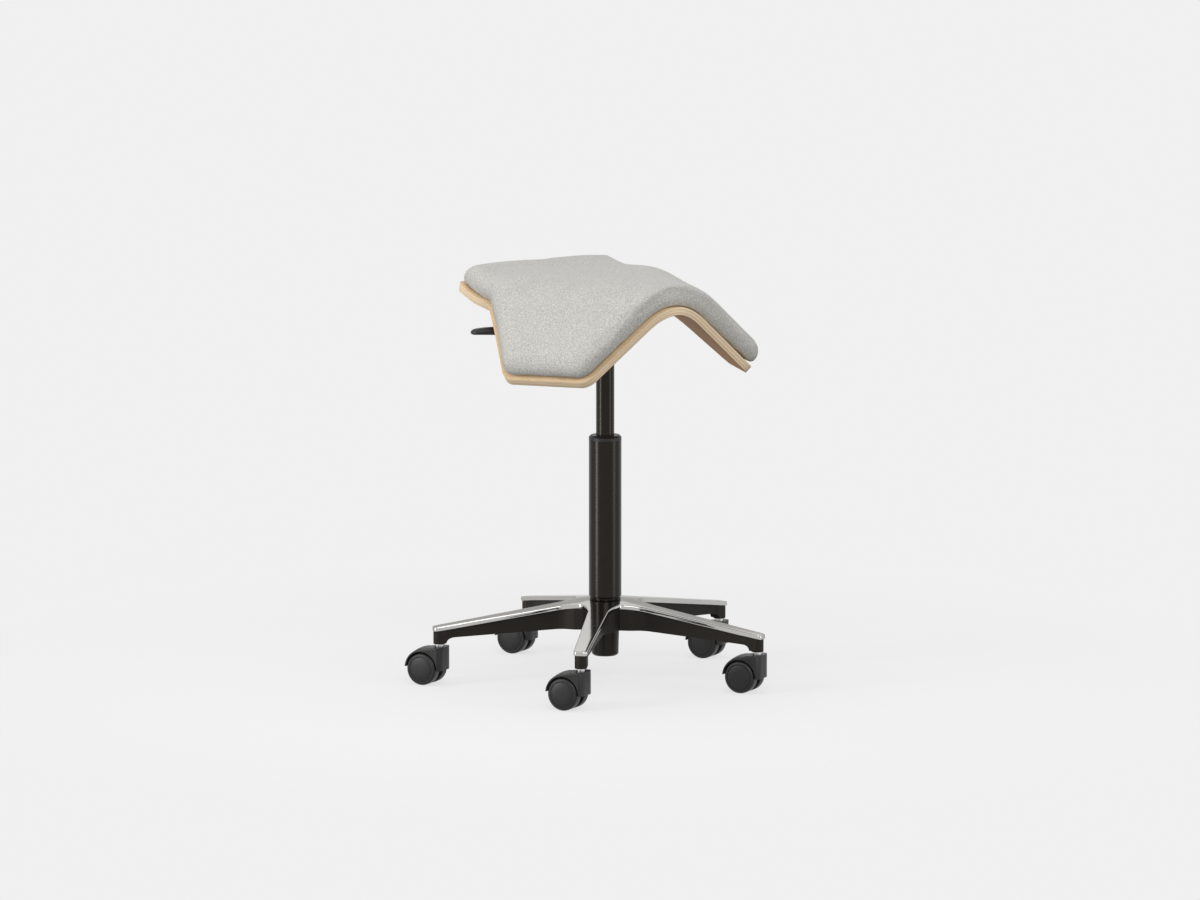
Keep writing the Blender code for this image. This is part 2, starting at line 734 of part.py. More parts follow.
def taper_socket(parent):
    """Socket for the gas spring's taper, with a slot for the lever in its upper edge."""
    bottom = SOCKET_TOP_Z - SOCKET_LENGTH
    cone_foot = CYLINDER_TOP_Z - CONE_LENGTH
    profile = [
        (cone_radius(CYLINDER_TOP_Z) + GAP, SOCKET_TOP_Z),
        (SOCKET_RADIUS, SOCKET_TOP_Z),
        (SOCKET_RADIUS, bottom),
        (cone_radius(bottom) + GAP, bottom),
    ]
    if cone_foot > bottom:
        profile.append((cone_radius(cone_foot) + GAP, cone_foot))
    profile.append((cone_radius(CYLINDER_TOP_Z) + GAP, CYLINDER_TOP_Z))
    sleeve = turned(profile, STEPS_LARGE, closed=True)
    half = LEVER_ROD_RADIUS + RUN_GAP
    slot = box((0.0, -half, SOCKET_TOP_Z - SOCKET_SLOT_DEPTH),
               (2.0 * SOCKET_RADIUS, half, SOCKET_TOP_Z + GAP))
    slot = moved(slot, Matrix.Rotation(LEVER_ANGLE, 4, "Z"))
    part("taper_socket", combined(sleeve, [slot], "DIFFERENCE"), BLACK_STEEL, parent)


def lever_bracket(parent):
    """Stirrup under the plate that carries the lever's pin, in the lever's own direction."""
    inner = LEVER_EYE_HALF + GAP
    outer = inner + BRACKET_WALL
    top = PLATE_UNDER_Z - GAP
    bottom = top - BRACKET_DEPTH
    start = LEVER_PIVOT - BRACKET_HALF_LENGTH
    end = LEVER_PIVOT + BRACKET_HALF_LENGTH
    block = box((start, -outer, bottom), (end, outer, top))
    channel = box((start - GAP, -inner, bottom + BRACKET_WALL), (end + GAP, inner, top + GAP))
    hole = rod(LEVER_PIN_RADIUS + GAP, (LEVER_PIVOT, -2.0 * outer, LEVER_Z),
               (LEVER_PIVOT, 2.0 * outer, LEVER_Z), STEPS_SMALL)
    stirrup = combined(block, [channel, hole], "DIFFERENCE")
    part("lever_bracket", stirrup, BLACK_STEEL, parent, turn=LEVER_ANGLE)
    pin = rod(LEVER_PIN_RADIUS, (LEVER_PIVOT, -outer - GAP, LEVER_Z),
              (LEVER_PIVOT, outer + GAP, LEVER_Z), STEPS_SMALL)
    part("lever_pin", pin, BRIGHT_STEEL, parent, turn=LEVER_ANGLE)


def lever(parent):
    """Height lever: bent rod with an eye at its pivot, and a moulded grip on its end."""
    pivot = empty("lever_pivot", parent, Matrix.Rotation(LEVER_ANGLE, 3, "Z")
                  @ Vector((LEVER_PIVOT, 0.0, LEVER_Z)), LEVER_ANGLE)
    route = [
        (-LEVER_OVERRUN - LEVER_PIVOT, 0.0),
        (LEVER_BEND_START - LEVER_PIVOT, 0.0),
        (LEVER_BEND_END - LEVER_PIVOT, -LEVER_DROP),
        (LEVER_ROD_END - LEVER_PIVOT, -LEVER_DROP),
    ]
    bend_steps = 4
    path = [Vector(route[0])]
    for before, corner, after in zip(route, route[1:], route[2:]):
        path.extend(arc_corner(Vector(before), Vector(corner), Vector(after), LEVER_BEND_RADIUS,
                               bend_steps))
    path.append(Vector(route[-1]))
    curve = bpy.data.curves.new("lever_route", "CURVE")
    curve.dimensions = "3D"
    curve.bevel_depth = LEVER_ROD_RADIUS
    curve.bevel_resolution = 2
    curve.use_fill_caps = True
    line = curve.splines.new("POLY")
    line.points.add(len(path) - 1)
    for knot, place in zip(line.points, path):
        knot.co = (place.x, 0.0, place.y, 1.0)
    wire = bpy.data.objects.new("lever_route", curve)
    CUTTERS.objects.link(wire)
    bent = welded(baked(wire))
    eye = rod(LEVER_EYE_RADIUS, (0.0, -LEVER_EYE_HALF, 0.0), (0.0, LEVER_EYE_HALF, 0.0), STEPS_MEDIUM)
    hole = rod(LEVER_PIN_RADIUS + GAP, (0.0, -2.0 * LEVER_EYE_HALF, 0.0),
               (0.0, 2.0 * LEVER_EYE_HALF, 0.0), STEPS_SMALL)
    arm = combined(combined(bent, [eye], "UNION"), [hole], "DIFFERENCE")
    part("lever_arm", arm, BLACK_STEEL, pivot)
    part("lever_paddle", paddle_shape(), BLACK_NYLON, pivot)


def round_end(run, start):
    """Share of the paddle's width or thickness that is left past the start of its round end."""
    past = max(0.0, (run - start) / (1.0 - start))
    return math.sqrt(max(PADDLE_TIP_LEFT, 1.0 - past ** 2))


def paddle_shape():
    """Grip that widens from its collar and droops a little to a round tip, hollow for the rod."""
    length = PADDLE_TIP - PADDLE_START
    stations = 9
    corners = 12
    sections = []
    for i in range(stations):
        share = i / (stations - 1)
        along = PADDLE_START - LEVER_PIVOT + length * math.sin(share * math.pi / 2.0)
        run = (along + LEVER_PIVOT - PADDLE_START) / length
        spread = math.sin(min(1.0, run * length / PADDLE_COLLAR) * math.pi / 2.0)
        half = PADDLE_ROOT_HALF + (PADDLE_HALF_WIDTH - PADDLE_ROOT_HALF) * spread
        half *= round_end(run, PADDLE_TIP_START)
        thinned = 1.0 - PADDLE_THINNING * run ** PADDLE_THINNING_POWER
        thick = PADDLE_ROOT_HALF * thinned * round_end(run, PADDLE_NOSE_START)
        middle = -LEVER_DROP - PADDLE_DROOP * run ** PADDLE_DROOP_POWER
        ring = []
        for k in range(corners):
            angle = 2.0 * math.pi * k / corners
            across = math.copysign(abs(math.cos(angle)) ** PADDLE_SQUARENESS[0], math.cos(angle))
            upright = math.copysign(abs(math.sin(angle)) ** PADDLE_SQUARENESS[1], math.sin(angle))
            ring.append((along, half * across, middle + thick * upright))
        sections.append(ring)
    grip = lofted(sections)
    hole = rod(LEVER_ROD_RADIUS + GAP, (PADDLE_START - LEVER_PIVOT - GAP, 0.0, -LEVER_DROP),
               (LEVER_ROD_END - LEVER_PIVOT + GAP, 0.0, -LEVER_DROP), STEPS_SMALL)
    return combined(grip, [hole], "DIFFERENCE")


# Gas spring and column

def gas_cylinder(parent):
    """Pressure cylinder with its upper taper, bored for the piston, the rod and the release pin."""
    bore = CYLINDER_RADIUS - CYLINDER_WALL
    cone_foot = CYLINDER_TOP_Z - CONE_LENGTH
    chamfer = CYLINDER_CHAMFER
    tube = turned([
        (RELEASE_PIN_RADIUS + GAP, CYLINDER_TOP_Z),
        (cone_radius(CYLINDER_TOP_Z) - chamfer, CYLINDER_TOP_Z),
        (cone_radius(CYLINDER_TOP_Z - chamfer), CYLINDER_TOP_Z - chamfer),
        (CYLINDER_RADIUS, cone_foot),
        (CYLINDER_RADIUS, CYLINDER_BOTTOM_Z + chamfer),
        (CYLINDER_RADIUS - chamfer, CYLINDER_BOTTOM_Z),
        (ROD_RADIUS + GAP, CYLINDER_BOTTOM_Z),
        (ROD_RADIUS + GAP, CYLINDER_BOTTOM_Z + CYLINDER_END),
        (bore, CYLINDER_BOTTOM_Z + CYLINDER_END),
        (bore, cone_foot),
        (cone_radius(CYLINDER_TOP_Z) - CYLINDER_WALL, CYLINDER_TOP_Z - CYLINDER_END),
        (RELEASE_PIN_RADIUS + GAP, CYLINDER_TOP_Z - CYLINDER_END),
    ], STEPS_LARGE, closed=True)
    part("gas_cylinder", tube, BLACK_STEEL, parent)


def release_pin(parent):
    """Valve pin that the lever presses, with a flange that keeps it in the cylinder."""
    flange_top = CYLINDER_TOP_Z - CYLINDER_END - GAP
    flange_bottom = flange_top - RELEASE_PIN_FLANGE_HEIGHT
    tail_end = flange_bottom - RELEASE_PIN_TAIL
    dome = RELEASE_PIN_DOME
    pin = turned([
        (0.0, RELEASE_PIN_TOP_Z),
        (RELEASE_PIN_RADIUS - dome, RELEASE_PIN_TOP_Z),
        (RELEASE_PIN_RADIUS, RELEASE_PIN_TOP_Z - dome),
        (RELEASE_PIN_RADIUS, flange_top),
        (RELEASE_PIN_FLANGE, flange_top),
        (RELEASE_PIN_FLANGE, flange_bottom),
        (RELEASE_PIN_RADIUS, flange_bottom),
        (RELEASE_PIN_RADIUS, tail_end),
        (0.0, tail_end),
    ], STEPS_SMALL)
    part("release_pin", pin, BRIGHT_STEEL, parent)


def piston_rod(parent):
    """Rod with its piston at the top and a necked foot that turns on the thrust bearing."""
    piston = CYLINDER_RADIUS - CYLINDER_WALL - GAP
    piston_top = PISTON_BOTTOM_Z + PISTON_LENGTH
    groove_top = FLOOR_UNDER_Z
    groove_bottom = groove_top - 2.0 * (CLIP_WIRE_RADIUS + GAP)
    shape = turned([
        (0.0, piston_top),
        (piston, piston_top),
        (piston, PISTON_BOTTOM_Z),
        (ROD_RADIUS, PISTON_BOTTOM_Z),
        (ROD_RADIUS, BEARING_TOP_Z + GAP),
        (ROD_NECK_RADIUS, BEARING_TOP_Z + GAP),
        (ROD_NECK_RADIUS, groove_top),
        (ROD_GROOVE_RADIUS, groove_top),
        (ROD_GROOVE_RADIUS, groove_bottom),
        (ROD_NECK_RADIUS, groove_bottom),
        (ROD_NECK_RADIUS, TUBE_FOOT_Z + CLIP_WIRE_RADIUS),
        (0.0, TUBE_FOOT_Z + CLIP_WIRE_RADIUS),
    ], STEPS_HIDDEN)
    part("piston_rod", shape, BRIGHT_STEEL, parent)


def ring(name, surface, parent, inner, outer, bottom, top, steps):
    """A plain turned ring."""
    shape = turned([(inner, top), (outer, top), (outer, bottom), (inner, bottom)], steps, closed=True)
    part(name, shape, surface, parent)


def rod_clip(parent):
    """Open wire clip in the groove at the rod's foot."""
    steps = 14
    centre_radius = ROD_GROOVE_RADIUS + GAP + CLIP_WIRE_RADIUS
    z = FLOOR_UNDER_Z - GAP - CLIP_WIRE_RADIUS
    curve = bpy.data.curves.new("clip_route", "CURVE")
    curve.dimensions = "3D"
    curve.bevel_depth = CLIP_WIRE_RADIUS
    curve.bevel_resolution = 1
    curve.use_fill_caps = True
    line = curve.splines.new("POLY")
    line.points.add(steps)
    for i, knot in enumerate(line.points):
        angle = CLIP_OPENING / 2.0 + (2.0 * math.pi - CLIP_OPENING) * i / steps
        knot.co = (centre_radius * math.cos(angle), centre_radius * math.sin(angle), z, 1.0)
    wire = bpy.data.objects.new("clip_route", curve)
    CUTTERS.objects.link(wire)
    part("rod_clip", welded(baked(wire)), ZINC_STEEL, parent)


def taper_radius(z):
    """Outer radius of the column's lower taper."""
    return TUBE_FOOT_RADIUS + TAPER_SLOPE * (z - TUBE_FOOT_Z)


def column_tube(parent):
    """Outer tube whose foot tapers into the base, with a floor that carries the rod's bearing."""
    chamfer = TUBE_FOOT_CHAMFER
    neck_z = TUBE_SHOULDER_Z - (TUBE_RADIUS - TAPER_TOP_RADIUS)
    inside_foot = taper_radius(FLOOR_TOP_Z) - TUBE_TAPER_WALL
    inside_neck = taper_radius(neck_z) - TUBE_TAPER_WALL
    inside = TUBE_RADIUS - TUBE_WALL
    hole = ROD_NECK_RADIUS + GAP
    recess = TUBE_FOOT_RADIUS - 2.0 * TUBE_TAPER_WALL
    tube = turned([
        (inside, TUBE_TOP_Z),
        (TUBE_RADIUS, TUBE_TOP_Z),
        (TUBE_RADIUS, TUBE_SHOULDER_Z),
        (taper_radius(neck_z), neck_z),
        (taper_radius(TUBE_FOOT_Z + chamfer), TUBE_FOOT_Z + chamfer),
        (TUBE_FOOT_RADIUS - chamfer, TUBE_FOOT_Z),
        (recess, TUBE_FOOT_Z),
        (recess, FLOOR_UNDER_Z),
        (hole, FLOOR_UNDER_Z),
        (hole, FLOOR_TOP_Z),
        (inside_foot, FLOOR_TOP_Z),
        (inside_neck, neck_z),
        (inside, TUBE_SHOULDER_Z + TUBE_WALL),
    ], STEPS_LARGE, closed=True)
    part("column_tube", tube, BLACK_STEEL, parent)


def guide_bush(parent):
    """Plastic bush that guides the gas cylinder, with the collar that caps the tube."""
    bore = CYLINDER_RADIUS + GAP
    sleeve = TUBE_RADIUS - TUBE_WALL - GAP
    collar_bottom = TUBE_TOP_Z + GAP
    collar_top = collar_bottom + BUSH_COLLAR
    chamfer = BUSH_CHAMFER
    bush = turned([
        (bore, collar_top),
        (TUBE_RADIUS - chamfer, collar_top),
        (TUBE_RADIUS, collar_top - chamfer),
        (TUBE_RADIUS, collar_bottom),
        (sleeve, collar_bottom),
        (sleeve, TUBE_TOP_Z - BUSH_LENGTH),
        (bore, TUBE_TOP_Z - BUSH_LENGTH),
    ], STEPS_LARGE, closed=True)
    part("guide_bush", bush, BLACK_NYLON, parent)


# Base casting

def arm_half(radius):
    """Half width of an arm's plate at a distance from the column, with the round crotch."""
    share = (radius - CROTCH_RADIUS) / (ARM_TIP - CROTCH_RADIUS)
    half = ARM_ROOT_HALF + (ARM_TIP_HALF - ARM_ROOT_HALF) * share
    near = max(0.0, 1.0 - (radius - CROTCH_RADIUS) / CROTCH_FILLET)
    crotch = CROTCH_RADIUS * math.sin(math.pi / ARMS) - ARM_ROOT_HALF
    return half + crotch * near ** 2


def star_top(radius):
    """Height of the star's upper face, which falls towards the tips."""
    return HUB_TOP_Z - PLATE_SLOPE * max(0.0, radius - FLAT_TOP_RADIUS)


def body_bottom(radius):
    """Lower edge of the black body, which flares down to the caster boss."""
    flare_start = STEM_CIRCLE - BOSS_RADIUS - FLARE_LENGTH
    share = max(0.0, radius - CROTCH_RADIUS) / (flare_start - CROTCH_RADIUS)
    if share <= 1.0:
        return HUB_BOTTOM_Z + (ARM_END_Z - HUB_BOTTOM_Z) * share
    bend = min(1.0, (radius - flare_start) / FLARE_LENGTH)
    lowest = BOSS_BOTTOM_Z + FLARE_END_STEP
    return ARM_END_Z + (lowest - ARM_END_Z) * (1.0 - math.sqrt(max(0.0, 1.0 - bend ** 2)))


def star(stations, top, bottom):
    """Five-armed solid between two heights. Stations are (radius, half width), from the hub outwards.

    Up to the crotch an arm fills its whole share of the circle, so the arms grow out of one disc.
    """
    shape = bmesh.new()
    across = (-1.0, 0.0, 1.0)
    sector = 2.0 * math.pi / ARMS
    crown = shape.verts.new((0.0, 0.0, top(0.0)))
    floor = shape.verts.new((0.0, 0.0, bottom(0.0)))
    for arm in range(ARMS):
        middle = ARM_ANGLE + sector * arm
        upper = []
        lower = []
        for radius, half in stations:
            reach = math.asin(min(1.0, half / radius)) if half else sector / 2.0
            upper_row = []
            lower_row = []
            for side in across:
                angle = middle + side * min(reach, sector / 2.0)
                x = radius * math.cos(angle)
                y = radius * math.sin(angle)
                upper_row.append(shape.verts.new((x, y, top(radius))))
                lower_row.append(shape.verts.new((x, y, bottom(radius))))
            upper.append(upper_row)
            lower.append(lower_row)
        for rows, tip in ((upper, crown), (lower, floor)):
            for near, far in zip(rows, rows[1:]):
                for k in range(len(across) - 1):
                    shape.faces.new((near[k], far[k], far[k + 1], near[k + 1]))
            for k in range(len(across) - 1):
                shape.faces.new((tip, rows[0][k], rows[0][k + 1]))
        for k in (0, len(across) - 1):
            for i in range(len(stations) - 1):
                if stations[i][1]:
                    shape.faces.new((upper[i][k], lower[i][k], lower[i + 1][k], upper[i + 1][k]))
        for k in range(len(across) - 1):
            shape.faces.new((upper[-1][k], lower[-1][k], lower[-1][k + 1], upper[-1][k + 1]))
    bmesh.ops.remove_doubles(shape, verts=shape.verts, dist=WELD)
    bmesh.ops.recalc_face_normals(shape, faces=shape.faces)
    bmesh.ops.triangulate(shape, faces=shape.faces)
    mesh = bpy.data.meshes.new("star")
    shape.to_mesh(mesh)
    shape.free()
    return mesh


def star_stations(inset, radii):
    """Stations of the star plate, or of the body under it: the crotch, then the given radii."""
    crotch = CROTCH_RADIUS - inset
    stations = [(crotch * HUB_RING_SHARE, 0.0), (crotch, crotch * math.sin(math.pi / ARMS))]
    for share in CROTCH_SHARES:
        radius = CROTCH_RADIUS + CROTCH_FILLET * share
        stations.append((radius, arm_half(radius) - inset))
    for radius in radii:
        stations.append((radius, arm_half(radius) - inset))
    return stations


def rounded_tip(stations, end, inset):
    """Adds the round corners of an arm's end."""
    half = arm_half(end) - inset
    for degrees in TIP_DEGREES:
        angle = math.radians(degrees)
        radius = end - ARM_TIP_RADIUS * (1.0 - math.sin(angle))
        stations.append((radius, half - ARM_TIP_RADIUS * (1.0 - math.cos(angle))))
    return stations


def arm_pockets():
    """Hollows under the arms, between cross ribs."""
    start = CROTCH_RADIUS + POCKET_START
    end = STEM_CIRCLE - BOSS_RADIUS - FLARE_LENGTH / 2.0
    length = (end - start - RIB * (POCKETS - 1)) / POCKETS
    pockets = []
    for arm in range(ARMS):
        turn = Matrix.Rotation(ARM_ANGLE + 2.0 * math.pi * arm / ARMS, 4, "Z")
        for number in range(POCKETS):
            near = start + number * (length + RIB)
            sections = []
            for radius in (near, near + length):
                half = arm_half(radius) - BODY_INSET - BODY_WALL
                roof = star_top(radius) - STAR_PLATE - POCKET_ROOF
                low = BOSS_BOTTOM_Z - RIB
                sections.append([(radius, -half, low), (radius, half, low),
                                 (radius, half, roof), (radius, -half, roof)])
            pockets.append(moved(lofted(sections), turn))
    return pockets


def joined(meshes):
    """Separate shapes in one mesh, for cutting with all at once."""
    shape = bmesh.new()
    for mesh in meshes:
        shape.from_mesh(mesh)
    mesh = bpy.data.meshes.new("group")
    shape.to_mesh(mesh)
    shape.free()
    return mesh


def stem_places():
    """Plan places of the caster stems, measured from the column."""
    places = []
    for arm in range(ARMS):
        angle = ARM_ANGLE + 2.0 * math.pi * arm / ARMS
        places.append((STEM_CIRCLE * math.cos(angle), STEM_CIRCLE * math.sin(angle)))
    return places


def base_casting(parent):
    """Die-cast star: bright plate, hollow ribbed body under it, hub and five caster bosses."""
    straight = CROTCH_RADIUS + STRAIGHT_START
    plate_radii = [straight, (straight + ARM_TIP) / 2.0, ARM_TIP - ARM_TIP_RADIUS]
    plate = star(rounded_tip(star_stations(0.0, plate_radii), ARM_TIP, 0.0), star_top,
                 lambda radius: star_top(radius) - STAR_PLATE)
    flare = STEM_CIRCLE - BOSS_RADIUS - FLARE_LENGTH
    body_radii = [straight, flare]
    body_radii += [flare + FLARE_LENGTH * share for share in FLARE_SHARES]
    body_radii.append(STEM_CIRCLE + BOSS_RADIUS / 2.0)
    body = star(star_stations(BODY_INSET, body_radii),
                lambda radius: star_top(radius) - STAR_PLATE / 2.0, body_bottom)
    bosses = []
    holes = []
    boss_top = star_top(ARM_TIP) - STAR_PLATE / 2.0
    stem_top = BOSS_BOTTOM_Z + GAP + STEM_LENGTH_IN_BOSS + GAP
    for x, y in stem_places():
        bosses.append(rod(BOSS_RADIUS, (x, y, BOSS_BOTTOM_Z), (x, y, boss_top), STEPS_BOSS))
        low = (x, y, BOSS_BOTTOM_Z - RIB)
        holes.append(rod(STEM_RADIUS + GAP, low, (x, y, stem_top), STEPS_SMALL))
    solid = combined(plate, [body, joined(bosses)], "UNION")
    low = HUB_BOTTOM_Z - RIB
    high = HUB_TOP_Z + RIB
    taper = turned([
        (0.0, high),
        (taper_radius(high) + GAP, high),
        (taper_radius(low) + GAP, low),
        (0.0, low),
    ], STEPS_LARGE)
    moat_inner = taper_radius(HUB_TOP_Z) + HUB_WALL
    moat_outer = CROTCH_RADIUS - BODY_INSET - BODY_WALL
    moat_top = star_top(moat_outer) - STAR_PLATE - POCKET_ROOF
    moat = turned([
        (moat_inner, moat_top),
        (moat_outer, moat_top),
        (moat_outer, low),
        (moat_inner, low),
    ], STEPS_LARGE, closed=True)
    cuts = [taper, moat, joined(holes), joined(arm_pockets())]
    part("base_casting", combined(solid, cuts, "DIFFERENCE"), ALUMINIUM, parent)


# Casters

def wheel_mesh():
    """Wheel turned about its axle: smooth outer face with a rim line, round tread, hollow inner face."""
    bore = AXLE_RADIUS + GAP
    bore_end = WHEEL_INNER + AXLE_DEPTH + GAP
    side = WHEEL_RADIUS - TREAD_ROUND
    shape = turned([
        (0.0, WHEEL_OUTER),
        (RIM_LINE_RADIUS, WHEEL_OUTER - 2.0 * RIM_LINE_STEP),
        (RIM_LINE_RADIUS + RIM_LINE_STEP, WHEEL_OUTER - RIM_LINE_STEP),
        (side, WHEEL_OUTER - RIM_LINE_STEP),
        (WHEEL_RADIUS - TREAD_DROP, WHEEL_OUTER - TREAD_OUTER_EDGE),
        (WHEEL_RADIUS, WHEEL_OUTER - TREAD_OUTER_FULL),
        (WHEEL_RADIUS, WHEEL_INNER + TREAD_INNER_FULL),
        (WHEEL_RADIUS - TREAD_DROP, WHEEL_INNER),
        (DISH_RADIUS, WHEEL_INNER),
        (DISH_RADIUS - RIM_LINE_STEP, WHEEL_INNER + DISH_DEPTH),
        (bore, WHEEL_INNER + DISH_DEPTH),
        (bore, bore_end),
        (0.0, bore_end),
    ], WHEEL_STEPS)
    half_step = Matrix.Rotation(math.pi / WHEEL_STEPS, 4, "Z")
    return moved(shape, Matrix.Rotation(-math.pi / 2.0, 4, "X") @ half_step)


def hood_section(across):
    """Side outline of the hood at a distance from its middle plane, in (trail, z)."""
    inner = WHEEL_RADIUS + HOOD_GAP
    tip = TRAIL + inner + HOOD_TIP
    edge = min(1.0, abs(across) / HOOD_HALF)
    lean = max(0.0, (abs(across) - HOOD_FRONT_HALF) / (HOOD_HALF - HOOD_FRONT_HALF))
    front = -(HOOD_FRONT + (HOOD_SIDE_FRONT - HOOD_FRONT) * lean)
    middle_rise = HOOD_TOP_Z - AXLE_Z
    rise = middle_rise + (HOOD_SIDE_RADIUS - middle_rise) * edge ** 2
    points = []
    start = math.asin(HOOD_TIP_RISE / rise)
    for i in range(HOOD_OUTER_STEPS + 1):
        angle = start + (math.pi / 2.0 - start) * i / HOOD_OUTER_STEPS
        centre = TRAIL - (middle_rise - HOOD_SIDE_RADIUS) * (1.0 - edge ** 2)
        points.append((centre + (tip - centre) * math.cos(angle), AXLE_Z + rise * math.sin(angle)))
    points.append((HOOD_FLAT, HOOD_TOP_Z))
    points.append((front, HOOD_TOP_Z))
    points.append((front, HOOD_BOTTOM_Z))
    low = math.pi - math.asin((HOOD_BOTTOM_Z - AXLE_Z) / inner)
    high = math.asin(HOOD_TIP_RISE / inner)
    for i in range(HOOD_INNER_STEPS + 1):
        angle = low + (high - low) * i / HOOD_INNER_STEPS
        points.append((TRAIL + inner * math.cos(angle), AXLE_Z + inner * math.sin(angle)))
    return points


def web_outline():
    """Side outline of the web between the wheels, with a lobe round the axle, in (trail, z)."""
    points = []
    arch = (WEB_END, math.pi - WEB_END, WEB_RADIUS, WEB_STEPS)
    lobe = (math.pi + WEB_LOBE, 2.0 * math.pi - WEB_LOBE, WEB_LOBE_RADIUS, WEB_LOBE_STEPS)
    for first, last, radius, steps in (arch, lobe):
        for i in range(steps + 1):
            angle = first + (last - first) * i / steps
            points.append((TRAIL + radius * math.cos(angle), AXLE_Z + radius * math.sin(angle)))
    return points


def hood_mesh():
    """Hood over both wheels, with the web between them, the stem's bore and the axle's bore."""
    stations = (-HOOD_HALF, -HOOD_FRONT_HALF, 0.0, HOOD_FRONT_HALF, HOOD_HALF)
    sections = [[(x, y, z) for x, z in hood_section(y)] for y in stations]
    cover = lofted(sections)
    upright = Matrix.Rotation(math.pi / 2.0, 4, "X")
    web = moved(flat_plate([web_outline()], 2.0 * WEB_HALF), upright)
    floor = HOOD_TOP_Z - STEM_SEAT_DEPTH
    bottom = floor - STEM_LENGTH_IN_HOOD
    clear = HOOD_TOP_Z + RIB
    bore = rod(STEM_NECK_RADIUS + GAP, (0.0, 0.0, bottom - GAP), (0.0, 0.0, clear), STEPS_SMALL)
    notch = box((-STEM_NOTCH_HALF, -2.0 * HOOD_HALF, floor), (STEM_NOTCH_HALF, 2.0 * HOOD_HALF, clear))
    axle = rod(AXLE_RADIUS + GAP, (TRAIL, -2.0 * WEB_HALF, AXLE_Z), (TRAIL, 2.0 * WEB_HALF, AXLE_Z),
               STEPS_SMALL)
    return combined(combined(cover, [web], "UNION"), [bore, notch, axle], "DIFFERENCE")


def stem_mesh():
    """Caster stem: journal in the hood, a collar under the boss, a plug with a ring groove in it."""
    floor = HOOD_TOP_Z - STEM_SEAT_DEPTH
    bottom = floor - STEM_LENGTH_IN_HOOD
    collar_top = BOSS_BOTTOM_Z - GAP
    collar_bottom = HOOD_TOP_Z + GAP
    top = BOSS_BOTTOM_Z + STEM_LENGTH_IN_BOSS
    groove_top = top - RING_DEPTH
    groove_bottom = groove_top - RING_HEIGHT - 2.0 * GAP
    chamfer = STEM_CHAMFER
    return turned([
        (0.0, top),
        (STEM_RADIUS - chamfer, top),
        (STEM_RADIUS, top - chamfer),
        (STEM_RADIUS, groove_top),
        (STEM_RADIUS - RING_GROOVE, groove_top),
        (STEM_RADIUS - RING_GROOVE, groove_bottom),
        (STEM_RADIUS, groove_bottom),
        (STEM_RADIUS, collar_top),
        (STEM_RADIUS + chamfer, collar_top),
        (STEM_RADIUS + chamfer, collar_bottom),
        (STEM_NECK_RADIUS, collar_bottom),
        (STEM_NECK_RADIUS, bottom),
        (0.0, bottom),
    ], STEPS_SMALL)


def grip_ring_mesh():
    """Spring ring in the stem's groove."""
    top = BOSS_BOTTOM_Z + STEM_LENGTH_IN_BOSS - RING_DEPTH - GAP
    inner = STEM_RADIUS - RING_GROOVE + GAP
    bottom = top - RING_HEIGHT
    profile = [(inner, top), (STEM_RADIUS, top), (STEM_RADIUS, bottom), (inner, bottom)]
    return turned(profile, STEPS_SMALL, closed=True)


def casters(parent):
    """Five casters, all trailing the same way."""
    hood = hood_mesh()
    stem = stem_mesh()
    grip = grip_ring_mesh()
    wheel = wheel_mesh()
    reach = WHEEL_INNER + AXLE_DEPTH
    axle = rod(AXLE_RADIUS, (0.0, -reach, 0.0), (0.0, reach, 0.0), STEPS_SMALL)
    for number, (x, y) in enumerate(stem_places(), start=1):
        part(f"caster_stem_{number}", stem.copy(), BRIGHT_STEEL, parent, (x, y, 0.0))
        part(f"grip_ring_{number}", grip.copy(), ZINC_STEEL, parent, (x, y, 0.0))
        swivel = empty(f"caster_swivel_{number}", parent, (x, y, 0.0), CASTER_ANGLE)
        part(f"caster_hood_{number}", hood.copy(), BLACK_NYLON, swivel)
        centre = (TRAIL, 0.0, AXLE_Z)
        part(f"caster_axle_{number}", axle.copy(), BRIGHT_STEEL, swivel, centre)
        part(f"caster_wheel_{number}_left", wheel.copy(), BLACK_NYLON, swivel, centre)
        part(f"caster_wheel_{number}_right", wheel.copy(), BLACK_NYLON, swivel, centre, math.pi)


def build():
    """The whole chair: the base, then the spindle that turns in it, then the seat that slides on it."""
    chair = empty("chair", None, (COLUMN_X, COLUMN_Y, 0.0))
    base_casting(chair)
    column_tube(chair)
    guide_bush(chair)
    casters(chair)
    spindle = empty("seat_swivel", chair, (0.0, 0.0, 0.0))
    piston_rod(spindle)
    ring("thrust_bearing", BRIGHT_STEEL, spindle, ROD_NECK_RADIUS + GAP, BEARING_RADIUS,
         BEARING_BOTTOM_Z, BEARING_TOP_Z, STEPS_HIDDEN)
    ring("rubber_buffer", BLACK_RUBBER, spindle, ROD_RADIUS + GAP, BUFFER_RADIUS,
         BEARING_TOP_Z + GAP, BUFFER_TOP_Z, STEPS_HIDDEN)
    rod_clip(spindle)
    seat = empty("seat_lift", spindle, (0.0, 0.0, 0.0))
    gas_cylinder(seat)
    release_pin(seat)
    taper_socket(seat)
    seat_plate(seat)
    plate_fasteners(seat)
    lever_bracket(seat)
    lever(seat)
    seat_shell(seat)
    seat_pad(seat)


build()
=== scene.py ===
# %% [markdown]
# # A saddle chair, dressed piece by piece
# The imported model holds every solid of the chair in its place: a folded plywood saddle with an
# upholstered pad, a gas-lift column, a five-star base and five casters. This lesson loads that model as
# a fixed frame, models finer pieces over the coarse solids, and gives each one its real finish.

import json
import math

import bmesh
import bpy
from mathutils import Matrix, Vector

